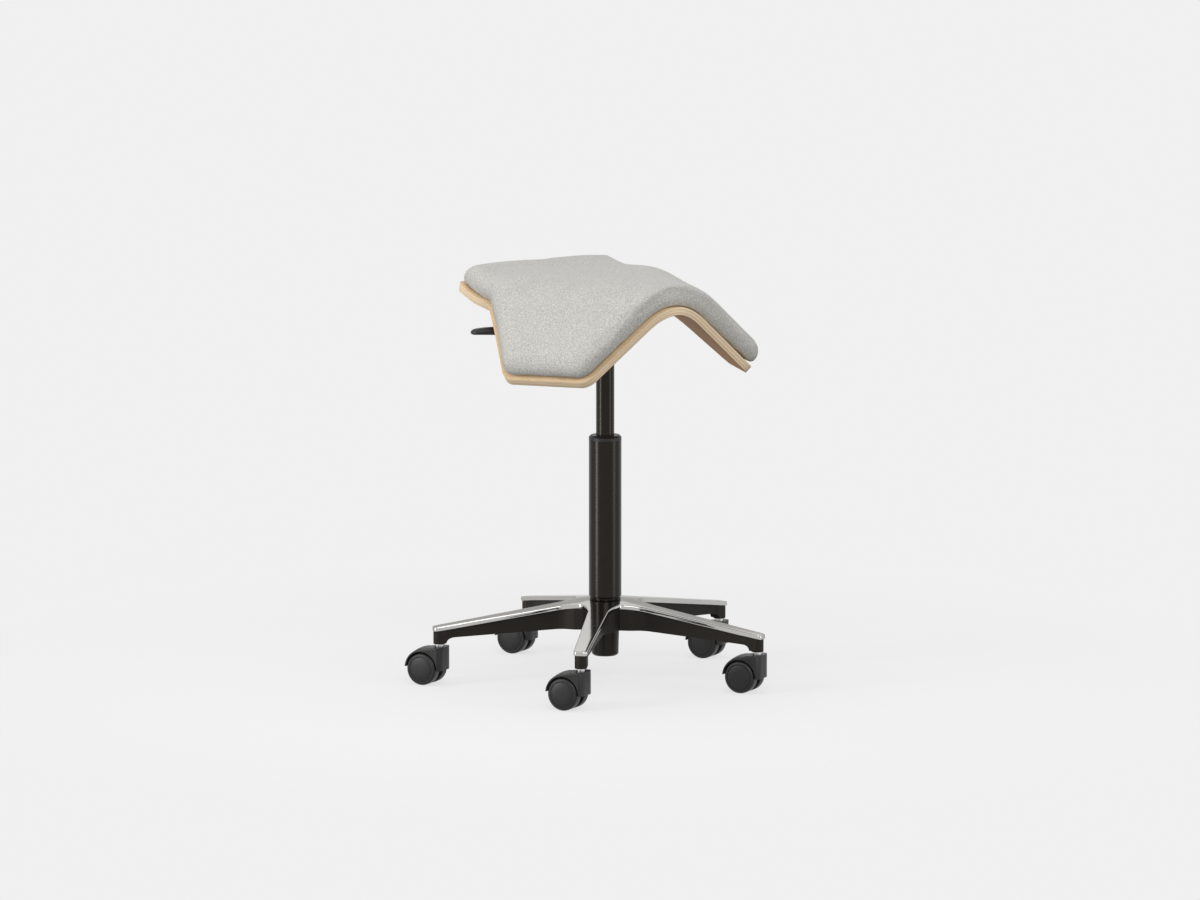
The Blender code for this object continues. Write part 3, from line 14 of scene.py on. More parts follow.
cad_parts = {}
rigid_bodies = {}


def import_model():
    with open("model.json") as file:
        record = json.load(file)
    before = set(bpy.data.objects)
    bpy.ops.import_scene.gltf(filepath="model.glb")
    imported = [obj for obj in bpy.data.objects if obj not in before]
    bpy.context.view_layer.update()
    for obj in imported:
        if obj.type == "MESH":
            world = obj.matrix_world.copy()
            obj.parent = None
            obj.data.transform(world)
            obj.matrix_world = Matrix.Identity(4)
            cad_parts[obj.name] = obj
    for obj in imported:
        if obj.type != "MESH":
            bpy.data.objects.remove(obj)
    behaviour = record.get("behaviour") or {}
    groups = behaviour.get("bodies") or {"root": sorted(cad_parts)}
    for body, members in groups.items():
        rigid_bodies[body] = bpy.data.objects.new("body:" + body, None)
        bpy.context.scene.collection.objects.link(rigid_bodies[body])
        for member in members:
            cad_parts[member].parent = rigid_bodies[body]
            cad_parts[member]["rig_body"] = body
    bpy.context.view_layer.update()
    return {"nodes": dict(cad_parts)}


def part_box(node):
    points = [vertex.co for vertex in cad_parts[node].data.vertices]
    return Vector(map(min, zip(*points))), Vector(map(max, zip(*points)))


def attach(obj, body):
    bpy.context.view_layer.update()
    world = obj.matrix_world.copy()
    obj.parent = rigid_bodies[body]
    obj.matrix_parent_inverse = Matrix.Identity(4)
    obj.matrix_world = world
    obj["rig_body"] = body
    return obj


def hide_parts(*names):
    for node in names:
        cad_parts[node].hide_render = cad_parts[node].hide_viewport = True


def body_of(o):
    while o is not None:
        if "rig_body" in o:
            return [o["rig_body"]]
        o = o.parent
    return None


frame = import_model()
nodes = frame["nodes"]

# %% [markdown]
# The camera comes first, because every later choice of fineness depends on what it sees. The product
# shot was taken from far away with a long lens, a little above the seat's height, so parallel edges stay
# nearly parallel. A long focal length and a distance of nine metres give the same flat perspective. The
# camera is aimed at a point on the column, whose axis is the middle of the column tube's box.

# %% Place the camera
VIEW_AZIMUTH = math.radians(-35.63)
VIEW_ELEVATION = math.radians(8.246)
VIEW_DISTANCE = 9.0876
VIEW_LENS, VIEW_SENSOR = 178.47, 36.0   # millimetres
AIM_FROM_FOOT = Vector((-0.0064, 0.0046, 0.3556))

tube_low, tube_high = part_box("column_tube")
column = Vector(((tube_low.x + tube_high.x) / 2.0, (tube_low.y + tube_high.y) / 2.0, 0.0))
aim = column + AIM_FROM_FOOT
back = Vector((math.sin(VIEW_AZIMUTH) * math.cos(VIEW_ELEVATION),
               -math.cos(VIEW_AZIMUTH) * math.cos(VIEW_ELEVATION),
               math.sin(VIEW_ELEVATION)))
bpy.ops.object.camera_add(location=aim + back * VIEW_DISTANCE)
camera = bpy.context.object
camera.rotation_euler = (-back).to_track_quat("-Z", "Y").to_euler()
camera.data.sensor_width = VIEW_SENSOR
camera.data.lens = VIEW_LENS
bpy.context.scene.camera = camera
bpy.context.scene.view_settings.view_transform = "Standard"
print("camera at", [round(value, 3) for value in camera.location])

# %% [markdown]
# Every finish is a node material. One helper turns the hex colour of a paint chart into the linear
# numbers that a shader works with, and one adds a node with its settings and links it. A socket is named
# by its label, or by its number where two labels are the same. Most finishes drift between two tones and
# have a skin that varies in gloss and relief, so these two habits are functions too.

# %% Helpers for materials
MM = 0.001


def linear(colour):
    """The linear RGBA of an sRGB hex colour."""
    values = [int(colour[i:i + 2], 16) / 255.0 for i in (1, 3, 5)]
    return [v / 12.92 if v <= 0.04045 else ((v + 0.055) / 1.055) ** 2.4 for v in values] + [1.0]


def node(material, kind, inputs, **settings):
    """Adds a shader node of a kind. An input is a plain value, or the output of another node."""
    tree = material.node_tree
    made = tree.nodes.new("ShaderNode" + kind)
    for setting, value in settings.items():
        setattr(made, setting, value)
    for socket, value in inputs.items():
        if isinstance(value, bpy.types.NodeSocket):
            tree.links.new(value, made.inputs[socket])
        else:
            made.inputs[socket].default_value = value
    return made


def new_material(name, roughness, metallic=0.0):
    """A material with its shader and the coordinates of the object that wears it."""
    material = bpy.data.materials.new(name)
    material.use_nodes = True
    shader = material.node_tree.nodes["Principled BSDF"]
    shader.inputs["Roughness"].default_value = roughness
    shader.inputs["Metallic"].default_value = metallic
    place = node(material, "TexCoord", {}).outputs["Object"]
    return material, shader, place


def feed(shader, socket, output):
    """Links an output to one socket of a node that is there already."""
    shader.id_data.links.new(output, shader.inputs[socket])


def mottled(name, roughness, patch, dark, light, detail=3.0, metallic=0.0):
    """A material that drifts between two tones, in patches of a real size, and its pattern."""
    material, shader, place = new_material(name, roughness, metallic)
    drift = node(material, "TexNoise", {"Vector": place, "Scale": 1.0 / patch, "Detail": detail})
    tone = node(material, "Mix", {0: drift.outputs["Fac"], 6: linear(dark), 7: linear(light)},
                data_type="RGBA")
    feed(shader, "Base Color", tone.outputs[2])
    return material, shader, place, drift.outputs["Fac"]


def skin(material, shader, gloss, smoothest, roughest, relief, strength, height):
    """Varies the roughness with one pattern, and raises one as fine relief."""
    varied = node(material, "MapRange", {"Value": gloss, "To Min": smoothest, "To Max": roughest})
    feed(shader, "Roughness", varied.outputs["Result"])
    bump = node(material, "Bump", {"Height": relief, "Strength": strength, "Distance": height})
    feed(shader, "Normal", bump.outputs["Normal"])


print("a mid grey is", [round(value, 3) for value in linear("#808080")])

# %% [markdown]
# The cover is a felted wool cloth, spun from light and dark fibres together, so from near it is a fine
# salt and pepper and from afar a warm grey. A weave pattern would be wrong, because felting hides the
# threads. Flecks of noise carry the mixed fibres, a slower noise the cloudiness of the dye, and a bump
# the nap. The real flecks are under a millimetre, so they are drawn two to three times as coarse to show.

# %% Heathered wool cloth
FLECK = 2.0 * MM
CLOUD = 26.0 * MM
NAP = 0.9 * MM

wool, wool_shader, wool_place = new_material("heathered_wool_cloth", 0.92)
fleck = node(wool, "TexNoise", {"Vector": wool_place, "Scale": 1.0 / FLECK, "Detail": 4.0,
                                "Roughness": 0.7})
cloud = node(wool, "TexNoise", {"Vector": wool_place, "Scale": 1.0 / CLOUD, "Detail": 2.0})
spread = node(wool, "MapRange", {"Value": fleck.outputs["Fac"], "From Min": 0.34, "From Max": 0.66})
fibre = node(wool, "Mix", {0: spread.outputs["Result"], 6: linear("#A3A19D"), 7: linear("#DEDDD8")},
             data_type="RGBA")
tint = node(wool, "Mix", {0: cloud.outputs["Fac"], 6: linear("#F2F1EE"), 7: linear("#FFFFFF")},
            data_type="RGBA")
felt = node(wool, "Mix", {0: 1.0, 6: fibre.outputs[2], 7: tint.outputs[2]},
            data_type="RGBA", blend_type="MULTIPLY")
feed(wool_shader, "Base Color", felt.outputs[2])
nap = node(wool, "TexNoise", {"Vector": wool_place, "Scale": 1.0 / NAP, "Detail": 3.0})
nap_bump = node(wool, "Bump", {"Height": nap.outputs["Fac"], "Strength": 0.35, "Distance": 0.6 * MM})
feed(wool_shader, "Normal", nap_bump.outputs["Normal"])
wool_shader.inputs["Sheen Weight"].default_value = 0.25
wool_shader.inputs["Sheen Roughness"].default_value = 0.6
wool_shader.inputs["Specular IOR Level"].default_value = 0.2
print("made", wool.name)

# %% [markdown]
# The shell is moulded plywood: thin beech layers glued crosswise, faced with oak. A clear matt lacquer
# leaves the grain open. On the faces oak shows long streaks and short dark pores, both along the fold.
# On the sawn edge the layers show as fine pale and tan lines. The lower face is the same oak, painted a
# darker brown as the shade under the seat. The mesh will carry the depth under its upper face as an
# attribute, in millimetres, so the material knows which layer it is in. Real plies of this sheet are
# about 1.5 mm, drawn coarser here so that they show.

# %% Oak plywood
SHEET = 12.0 * MM
STREAK = 9.0 * MM
PORE = 1.6 * MM
CROSS_GRAIN = 2.2 * MM
DRAWN_OUT = 0.055                       # scale of the grain along the fold, against across it
LAYER = 2.4                             # millimetres of each ply
VENEER, VENEER_BLEND = 0.4, 0.7         # millimetres: the veneer ends between these depths

half_sheet = SHEET / MM / 2.0
oak, oak_shader, oak_place = new_material("oak_faced_plywood_lacquered", 0.62)
long_grain = node(oak, "Mapping", {"Vector": oak_place, "Scale": (1.0, DRAWN_OUT, 1.0)})
streak = node(oak, "TexNoise", {"Vector": long_grain.outputs["Vector"], "Scale": 1.0 / STREAK,
                                "Detail": 5.0, "Roughness": 0.6, "Distortion": 0.4})
pore = node(oak, "TexNoise", {"Vector": long_grain.outputs["Vector"], "Scale": 1.0 / PORE, "Detail": 2.0})
streaked = node(oak, "Mix", {0: streak.outputs["Fac"], 6: linear("#D3B48B"), 7: linear("#ECD3AE")},
                data_type="RGBA")
pored = node(oak, "MapRange", {"Value": pore.outputs["Fac"], "From Min": 0.58, "From Max": 0.72,
                               "To Min": 0.0, "To Max": 0.45})
face = node(oak, "Mix", {0: pored.outputs["Result"], 6: streaked.outputs[2], 7: linear("#A27C55")},
            data_type="RGBA")
depth = node(oak, "Attribute", {}, attribute_name="ply_depth").outputs["Fac"]
ply = node(oak, "Math", {0: depth, 1: 2.0 * LAYER}, operation="MODULO")
lower_ply = node(oak, "Math", {0: ply.outputs[0], 1: LAYER}, operation="GREATER_THAN")
cross = node(oak, "TexNoise", {"Vector": oak_place, "Scale": 1.0 / CROSS_GRAIN, "Detail": 2.0})
pale = node(oak, "Mix", {0: cross.outputs["Fac"], 6: linear("#F4DFC0"), 7: linear("#FAE9D0")},
            data_type="RGBA")
tan = node(oak, "Mix", {0: cross.outputs["Fac"], 6: linear("#E6C69B"), 7: linear("#F0D4AE")},
           data_type="RGBA")
sawn = node(oak, "Mix", {0: lower_ply.outputs[0], 6: pale.outputs[2], 7: tan.outputs[2]}, data_type="RGBA")
from_middle = node(oak, "Math", {0: depth, 1: half_sheet}, operation="SUBTRACT")
off_middle = node(oak, "Math", {0: from_middle.outputs[0]}, operation="ABSOLUTE")
on_edge = node(oak, "MapRange", {"Value": off_middle.outputs[0], "From Min": half_sheet - VENEER,
                                 "From Max": half_sheet - VENEER_BLEND})
# Painted shade: the lower half of the sheet is coloured a darker brown to stand for the shadow under the
# seat; the oak there is the same.
underside_painted_shade = node(oak, "Mix", {0: streak.outputs["Fac"], 6: linear("#A5723E"), 7: linear("#C39259")},
                  data_type="RGBA")
in_shaded_underside = node(oak, "Math", {0: depth, 1: half_sheet}, operation="GREATER_THAN")
veneer_and_underside_shade = node(oak, "Mix", {0: in_shaded_underside.outputs[0], 6: face.outputs[2], 7: underside_painted_shade.outputs[2]},
              data_type="RGBA")
wood = node(oak, "Mix", {0: on_edge.outputs["Result"], 6: veneer_and_underside_shade.outputs[2], 7: sawn.outputs[2]},
            data_type="RGBA")
feed(oak_shader, "Base Color", wood.outputs[2])
grain_bump = node(oak, "Bump", {"Height": pore.outputs["Fac"], "Strength": 0.15, "Distance": 0.3 * MM})
feed(oak_shader, "Normal", grain_bump.outputs["Normal"])
oak_shader.inputs["Specular IOR Level"].default_value = 0.25
print("made", oak.name)

# %% [markdown]
# The column, the seat plate and the sides of the base carry a black powder coat. Baked powder flows into
# a fine orange peel, which breaks up the edge of each reflection. The peel is about a millimetre across.
# The column is a satin grade that shows long streaks of light, and the casting a duller one, so one
# function makes both.

# %% Black powder coat
PEEL = 1.4 * MM
DUST = 18.0 * MM


def powder_coat(name, smoothest, roughest):
    """A black powder coat between two roughnesses."""
    coat, shader, place = mottled(name, roughest, DUST, "#100F0E", "#181614")[:3]
    peel = node(coat, "TexNoise", {"Vector": place, "Scale": 1.0 / PEEL, "Detail": 2.0})
    skin(coat, shader, peel.outputs["Fac"], smoothest, roughest, peel.outputs["Fac"], 0.08, 0.2 * MM)
    shader.inputs["Specular IOR Level"].default_value = 0.24
    shader.inputs["Specular Tint"].default_value = linear("#FFF3E4")
    return coat


powder = powder_coat("black_powder_coat_satin", 0.20, 0.28)
casting_coat = powder_coat("black_powder_coat_dull", 0.46, 0.58)
print("made", powder.name, "and", casting_coat.name)

# %% [markdown]
# Hoods, wheels, the lever's grip and the guide bush are moulded nylon. The mould is spark eroded, so the
# skin has a tight matt grain, and the colour is a touch lighter than the paint.

# %% Moulded nylon
SPARK = 0.9 * MM
FLOW = 14.0 * MM

nylon, nylon_shader, nylon_place = mottled("black_nylon_moulded", 0.42, FLOW, "#161616", "#1F1E1D",
                                           detail=2.0)[:3]
spark = node(nylon, "TexVoronoi", {"Vector": nylon_place, "Scale": 1.0 / SPARK}).outputs["Distance"]
skin(nylon, nylon_shader, spark, 0.36, 0.46, spark, 0.06, 0.15 * MM)
nylon_shader.inputs["Specular IOR Level"].default_value = 0.35
print("made", nylon.name)

# %% [markdown]
# The star's upper face is polished die-cast aluminium. Buffing wheels leave fine hair lines and a slightly
# cloudy gloss. The face mirrors the pale studio, and near the hub it mirrors the black column.

# %% Polished aluminium
HAIR = 0.7 * MM
HAZE = 35.0 * MM

polish, polish_shader, polish_place, haze = mottled("aluminium_die_cast_polished", 0.2, HAZE, "#B8B7B4",
                                                    "#C6C5C2", metallic=1.0)
hair = node(polish, "TexNoise", {"Vector": polish_place, "Scale": 1.0 / HAIR, "Detail": 2.0})
skin(polish, polish_shader, haze, 0.06, 0.12, hair.outputs["Fac"], 0.03, 0.1 * MM)
polish_shader.inputs["Specular Tint"].default_value = linear("#C9C8C6")      # dulled at a glancing view
print("made", polish.name)

# %% [markdown]
# The caster stems, pins and the piston rod are turned and plated steel, the screws are zinc plated, and
# the buffer inside the column is rubber. Turning leaves rings round the axis, which the wave texture
# draws along Z. Zinc has a mottled, cooler grey.

# %% Plated steel, zinc and rubber
TURNED_RINGS = 160.0                    # scale of the wave texture
SPANGLE = 2.0 * MM
BLOOM = 3.0 * MM

chrome, chrome_shader, chrome_place = new_material("steel_turned_chromed", 0.18, metallic=1.0)
turning = node(chrome, "TexWave", {"Vector": chrome_place, "Scale": TURNED_RINGS, "Distortion": 0.5},
               bands_direction="Z")
silver = node(chrome, "Mix", {0: turning.outputs["Fac"], 6: linear("#BDBDBD"), 7: linear("#D2D2D1")},
              data_type="RGBA")
feed(chrome_shader, "Base Color", silver.outputs[2])
zinc = mottled("steel_zinc_plated", 0.36, SPANGLE, "#9A9C9D", "#BCBDB9", metallic=1.0)[0]
rubber = mottled("black_rubber_moulded", 0.78, BLOOM, "#131313", "#1E1D1D")[0]

finishes = {
    "oak_veneer": oak,
    "grey_wool": wool,
    "black_powder_coat": powder,
    "bright_steel": chrome,
    "zinc_plated_steel": zinc,
    "polished_aluminium": polish,
    "black_nylon": nylon,
    "black_rubber": rubber,
}
for solid in nodes.values():
    for place_for_paint in solid.material_slots:
        place_for_paint.material = finishes[place_for_paint.material.name]
print("painted", len(nodes), "solids with", len(finishes), "finishes")

# %% [markdown]
# The saddle is one sheet, bent along two straight fold lines that run forward from the notches and spread
# apart, so its sides fall away under the sitter's thighs. Behind the notches the sides sag a little, and
# the rear edge curls up. Its plan is a polygon with round corners. The functions here give that plan, at
# any distance inside the edge, and the height of the sheet over any place in plan, so the shell and the
# pad are made from the same form.

# %% The saddle's plan and height
SADDLE_TOP = 0.5935
FOLD = math.radians(24.35)
FLANK = math.tan(math.radians(43.4))
BEND = 0.0227                           # half the width of a bend
LIP_START, LIP_END, LIP_RISE = 0.080, 0.196, 0.0132
SAG, SAG_Y, SAG_REACH, SAG_START = 0.0098, 0.125, 0.100, 0.060     # of the sides behind the notches
NOTCH = Vector((0.152, 0.095))
PLAN = [                                # corner, its radius, and what the pad keeps off the edge after it
    (Vector((0.0, -0.190)), 0.300, -0.0015),
    (Vector((0.155, -0.168)), 0.026, -0.0015),
    (Vector((0.216, -0.040)), 0.026, 0.0025),
    (NOTCH, 0.014, -0.0005),
    (Vector((0.138, 0.196)), 0.012, 0.0010),
    (Vector((-0.138, 0.196)), 0.012, -0.0005),
    (Vector((-NOTCH.x, NOTCH.y)), 0.014, 0.0025),
    (Vector((-0.216, -0.040)), 0.026, -0.0015),
    (Vector((-0.155, -0.168)), 0.026, -0.0015),
]
LEAST_CORNER = 2.0 * MM
CORNER_STEPS, EDGE_STEPS = 10, 12


def saddle_height(x, y):
    """Height of the shell's upper face, with x and y measured from the column."""
    fall = 0.0
    for side in (1.0, -1.0):
        beyond = math.cos(FOLD) * (side * x - NOTCH.x) - math.sin(FOLD) * (y - NOTCH.y)
        if beyond >= BEND:
            fall += beyond
        elif beyond > -BEND:
            fall += (beyond + BEND) ** 2 / (4.0 * BEND)
    lip = max(0.0, (y - LIP_START) / (LIP_END - LIP_START))
    away = min(1.0, abs(y - SAG_Y) / SAG_REACH)
    aside = max(0.0, (abs(x) - SAG_START) / (NOTCH.x - SAG_START))
    sag = SAG * aside ** 2 * (1.0 + math.cos(math.pi * away)) / 2.0
    return SADDLE_TOP - FLANK * fall + LIP_RISE * lip ** 2 - sag


def saddle_normal(x, y):
    """Upward normal of that face."""
    step = 0.5 * MM
    slope_x = (saddle_height(x + step, y) - saddle_height(x - step, y)) / (2.0 * step)
    slope_y = (saddle_height(x, y + step) - saddle_height(x, y - step)) / (2.0 * step)
    return Vector((-slope_x, -slope_y, 1.0)).normalized()


def on_saddle(plan, lift):
    """A world point at a distance over the shell's upper face, along its normal."""
    foot = Vector((plan.x, plan.y, saddle_height(plan.x, plan.y)))
    return column + foot + saddle_normal(plan.x, plan.y) * lift


def saddle_plan(inset):
    """Points round the saddle at a distance inside its edge, always as many."""
    moved = []
    for i, (corner, radius, after) in enumerate(PLAN):
        before = PLAN[i - 1]
        way_in = (corner - before[0]).normalized()
        way_out = (PLAN[(i + 1) % len(PLAN)][0] - corner).normalized()
        side_in = Vector((-way_in.y, way_in.x))
        side_out = Vector((-way_out.y, way_out.x))
        off_in = inset + before[2] if inset else 0.0
        off_out = inset + after if inset else 0.0
        turn = side_in.cross(side_out)
        shift = Vector((off_in * side_out.y - off_out * side_in.y,
                        off_out * side_in.x - off_in * side_out.x))
        round_off = radius - inset if turn > 0.0 else radius + inset
        moved.append((corner + shift / turn, max(round_off, LEAST_CORNER)))
    points = []
    for i, (corner, radius) in enumerate(moved):
        into = (moved[i - 1][0] - corner).normalized()
        out = (moved[(i + 1) % len(moved)][0] - corner).normalized()
        half = into.angle(out) / 2.0
        centre = corner + (into + out).normalized() * (radius / math.sin(half))
        first = corner + into * (radius / math.tan(half)) - centre
        sweep = first.angle_signed(corner + out * (radius / math.tan(half)) - centre)
        arc = [centre + Matrix.Rotation(-sweep * k / CORNER_STEPS, 2) @ first
               for k in range(CORNER_STEPS + 1)]
        if points:
            start = points[-1]
            points.extend(start.lerp(arc[0], k / EDGE_STEPS) for k in range(1, EDGE_STEPS))
        points.extend(arc)
    start = points[-1]
    points.extend(start.lerp(points[0], k / EDGE_STEPS) for k in range(1, EDGE_STEPS))
    return points


print("points round the saddle:", len(saddle_plan(0.0)))

# %% [markdown]
# Blender can loft by hand: a circle is added with as many corners as the outline needs, its corners are
# moved to the first outline, and its edge is extruded again and again, each new ring moved to the next
# outline. Every corner carries its place in the ring as a number, and extruding copies that number, so
# the new ring knows where each of its corners belongs. The same helper makes the shell, the pad, the star
# plate, the grip and the hoods.

# %% Helpers for modelling
def fresh():
    """Leaves edit mode and deselects everything, so that an operator acts on a new piece alone."""
    if bpy.context.object and bpy.context.object.mode != "OBJECT":
        bpy.ops.object.mode_set(mode="OBJECT")
    bpy.ops.object.select_all(action="DESELECT")


def take(piece):
    """Makes a piece the active one, and the only one selected."""
    fresh()
    piece.select_set(True)
    bpy.context.view_layer.objects.active = piece


def settle(piece):
    """Puts the object at the origin, unturned, with its place in its mesh."""
    take(piece)
    bpy.ops.object.transform_apply(location=True, rotation=True, scale=True)


def extruded_rings(name, rings, ends="filled"):
    """A skin through rings of points, with its ends filled, joined together, or the first left open."""
    fresh()
    bpy.ops.mesh.primitive_circle_add(vertices=len(rings[0]), fill_type="NOTHING")
    piece = bpy.context.object
    piece.name = name
    bpy.ops.object.mode_set(mode="EDIT")
    shape = bmesh.from_edit_mesh(piece.data)
    order = shape.verts.layers.int.new("order")
    for i, corner in enumerate(shape.verts):
        corner[order] = i
    for step, ring in enumerate(rings):
        if step:
            bpy.ops.mesh.extrude_region_move()
            shape = bmesh.from_edit_mesh(piece.data)
            order = shape.verts.layers.int["order"]
        for corner in shape.verts:
            if corner.select:
                corner.co = ring[corner[order]]
        bmesh.update_edit_mesh(piece.data)
    if ends != "joined":
        bpy.ops.mesh.edge_face_add()
    if ends != "open":
        bpy.ops.mesh.select_all(action="DESELECT")
        bpy.ops.mesh.select_non_manifold()
    if ends == "filled":
        bpy.ops.mesh.edge_face_add()
    if ends == "joined":
        bpy.ops.mesh.bridge_edge_loops()
    bpy.ops.mesh.select_all(action="SELECT")
    bpy.ops.mesh.normals_make_consistent(inside=False)
    bpy.ops.object.mode_set(mode="OBJECT")
    piece.data.attributes.remove(piece.data.attributes["order"])
    settle(piece)
    return piece


def modified(piece, kind, **settings):
    """Adds a modifier and applies it."""
    take(piece)
    step = piece.modifiers.new(kind.lower(), kind)
    for setting, value in settings.items():
        setattr(step, setting, value)
    bpy.ops.object.modifier_apply(modifier=step.name)


def copied(master, name):
    """A new object with its own copy of another one's mesh."""
    copy = bpy.data.objects.new(name, master.data.copy())
    bpy.context.scene.collection.objects.link(copy)
    return copy


def dressed(piece, finish, body, slot, *solids, smooth=35.0):
    """Shades a piece, paints it, makes it ride on a body and stand for its solids."""
    take(piece)
    bpy.ops.object.shade_smooth_by_angle(angle=math.radians(smooth))
    piece.data.materials.clear()
    piece.data.materials.append(finish)
    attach(piece, body)
    if solids:
        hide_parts(*solids)
    print(piece.name, "has", len(piece.data.polygons), "faces")


print("ready to model")

# %% [markdown]
# The real shell is pressed flat sheets bent in a mould, then sawn round and sanded. So the mesh starts
# from its edge: rings shrink towards the middle on the saddle's form, Solidify gives the sheet its
# twelve millimetres, and a narrow Bevel is the sanded edge. The depth of each point under the upper face
# is stored for the plywood's layers.

# %% Plywood shell
SANDED = 1.6 * MM
RING_REACH = 0.96                       # share of the way to the middle that rings run
SHELL_RINGS = 34

rim = saddle_plan(0.0)
shell_shares = [1.0 - RING_REACH * k / SHELL_RINGS for k in range(SHELL_RINGS + 1)]
shell = extruded_rings("saddle_shell", [[on_saddle(point * share, 0.0) for point in rim]
                                        for share in shell_shares], ends="open")
if shell.data.polygons[0].normal.z < 0.0:
    shell.data.flip_normals()
modified(shell, "SOLIDIFY", thickness=SHEET, offset=-1.0, use_even_offset=True)
modified(shell, "BEVEL", width=SANDED, segments=3, limit_method="ANGLE", angle_limit=math.radians(50.0))
layers = shell.data.attributes.new("ply_depth", "FLOAT", "POINT")
for i, point in enumerate(shell.data.vertices):
    local = point.co - column
    slope = saddle_normal(local.x, local.y)
    under = (saddle_height(local.x, local.y) - local.z) * slope.z
    layers.data[i].value = min(max(under / MM, 0.0), SHEET / MM)
dressed(shell, oak, "seat", "oak_veneer", "seat_shell", smooth=40.0)

# %% [markdown]
# The pad is foam under a tight cover that is drawn in at its foot and fixed underneath. It starts as a
# slightly smaller form: rings that climb its side, turn over its round upper edge and run to the middle,
# and a lower face on the wood. Cloth simulation then does what the foam does: inside pressure swells the
# cover, which stays tight round the corners and pulls in between them. A cap keeps each point near its
# start, and the points at the bottom are laid back on the wood.

# %% Foam pad with its cover
PAD_LIFT = 0.3 * MM
PAD_THICK = 33.8 * MM
PAD_FOOT = 4.0 * MM                     # inside the shell's edge
PAD_SWELL = 3.0 * MM
PAD_SWELL_AT = 9.0 * MM
PAD_ROUND = 18.0 * MM
SWELL_CAP = 3.0 * MM
VOXEL = 4.5 * MM
UNDER_SHARES = (0.2, 0.45, 0.7, 0.9)    # rings of the lower face, as shares of the way to its edge
CLIMB = ((0.3, 0.5), (0.65, 0.85))      # shares of the way up to the widest ring, and of the swell there
ROUND_STEPS, TOP_RINGS = 8, 23

foot_edge = saddle_plan(PAD_FOOT + SWELL_CAP / 2.0)
pad_rings = [[on_saddle(point * share, PAD_LIFT) for point in foot_edge] for share in UNDER_SHARES]
for lift, swell in [(PAD_LIFT, 0.0)] + [(PAD_SWELL_AT * way_up, swell) for way_up, swell in CLIMB]:
    edge = saddle_plan(PAD_FOOT - PAD_SWELL * swell + SWELL_CAP / 2.0)
    pad_rings.append([on_saddle(point, lift) for point in edge])
for k in range(ROUND_STEPS + 1):
    turn = math.pi / 2.0 * k / ROUND_STEPS
    inset = PAD_FOOT - PAD_SWELL + PAD_ROUND * (1.0 - math.cos(turn)) + SWELL_CAP / 2.0
    lift = PAD_SWELL_AT + (PAD_THICK - SWELL_CAP - PAD_SWELL_AT) * math.sin(turn)
    edge = saddle_plan(inset)
    pad_rings.append([on_saddle(point, lift) for point in edge])
for k in range(1, TOP_RINGS + 1):
    share = 1.0 - RING_REACH * k / TOP_RINGS
    pad_rings.append([on_saddle(point * share, PAD_THICK - SWELL_CAP) for point in edge])
pad = extruded_rings("saddle_pad", pad_rings)
modified(pad, "REMESH", mode="VOXEL", voxel_size=VOXEL, use_smooth_shade=True)
print("remeshed pad has", len(pad.data.vertices), "points")

# %% [markdown]
# The simulation runs for twenty frames without gravity.

# %% Swell the pad
SWELL_FRAMES = 20
SWELL_PRESSURE = 4.0

resting = [point.co.copy() for point in pad.data.vertices]
take(pad)
cover = pad.modifiers.new("cover", "CLOTH")
cover.settings.use_pressure = True
cover.settings.uniform_pressure_force = SWELL_PRESSURE
cover.settings.effector_weights.gravity = 0.0
for frame_number in range(1, SWELL_FRAMES + 1):
    bpy.context.scene.frame_set(frame_number)
bpy.ops.object.modifier_apply(modifier="cover")
bpy.context.scene.frame_set(1)
for point, start in zip(pad.data.vertices, resting):
    way = point.co - start
    if way.length > SWELL_CAP:
        point.co = start + way * (SWELL_CAP / way.length)
for point in pad.data.vertices:
    local = point.co - column
    slope = saddle_normal(local.x, local.y)
    over = (local.z - saddle_height(local.x, local.y)) * slope.z
    if over < PAD_LIFT:
        point.co += slope * (PAD_LIFT - over)
modified(pad, "SUBSURF", levels=1, render_levels=1)
dressed(pad, wool, "seat", "grey_wool", "seat_pad", smooth=80.0)

# %% [markdown]
# The star of the base has five arms that flow into each other in round crotches. One function gives half
# the width of an arm at a distance from the column, and from it comes the whole outline, moved in or out
# by any amount. The sharp meeting of two arms is relaxed a little, as a casting's fillet would be.

# %% Outline of the star
ARMS = 5
FIRST_ARM = math.radians(-133.74)
SECTOR = 2.0 * math.pi / ARMS
CROTCH, CROTCH_RUN = 0.050, 0.030
ROOT_HALF, TIP_HALF = 0.0165, 0.0105
STEM_CIRCLE, PAST_STEM = 0.2571, 0.0099
TIP = STEM_CIRCLE + PAST_STEM
TIP_ROUND = 0.006
SIDE_STEPS, TIP_STEPS = 36, 8
SIDE_CROWDING = 1.5                     # above 1, points lie closer together near the hub
RELAX_WITHIN, RELAX_PASSES, RELAX_SHARE = 0.060, 6, 0.5


def arm_half(radius):
    """Half the width of an arm, which flares into its neighbours at the hub."""
    share = (radius - CROTCH) / (TIP - CROTCH)
    near = max(0.0, 1.0 - (radius - CROTCH) / CROTCH_RUN)
    flare = (CROTCH * math.sin(SECTOR / 2.0) - ROOT_HALF) * near ** 2
    return ROOT_HALF + (TIP_HALF - ROOT_HALF) * share + flare


straight_end = TIP - TIP_ROUND
half_arm = []
for k in range(SIDE_STEPS + 1):
    radius = CROTCH + (straight_end - CROTCH) * (k / SIDE_STEPS) ** SIDE_CROWDING
    half_arm.append((radius, arm_half(radius)))
for k in range(1, TIP_STEPS + 1):
    turn = math.pi / 2.0 * k / TIP_STEPS
    half_arm.append((straight_end + TIP_ROUND * math.sin(turn),
                     arm_half(straight_end) - TIP_ROUND * (1.0 - math.cos(turn))))

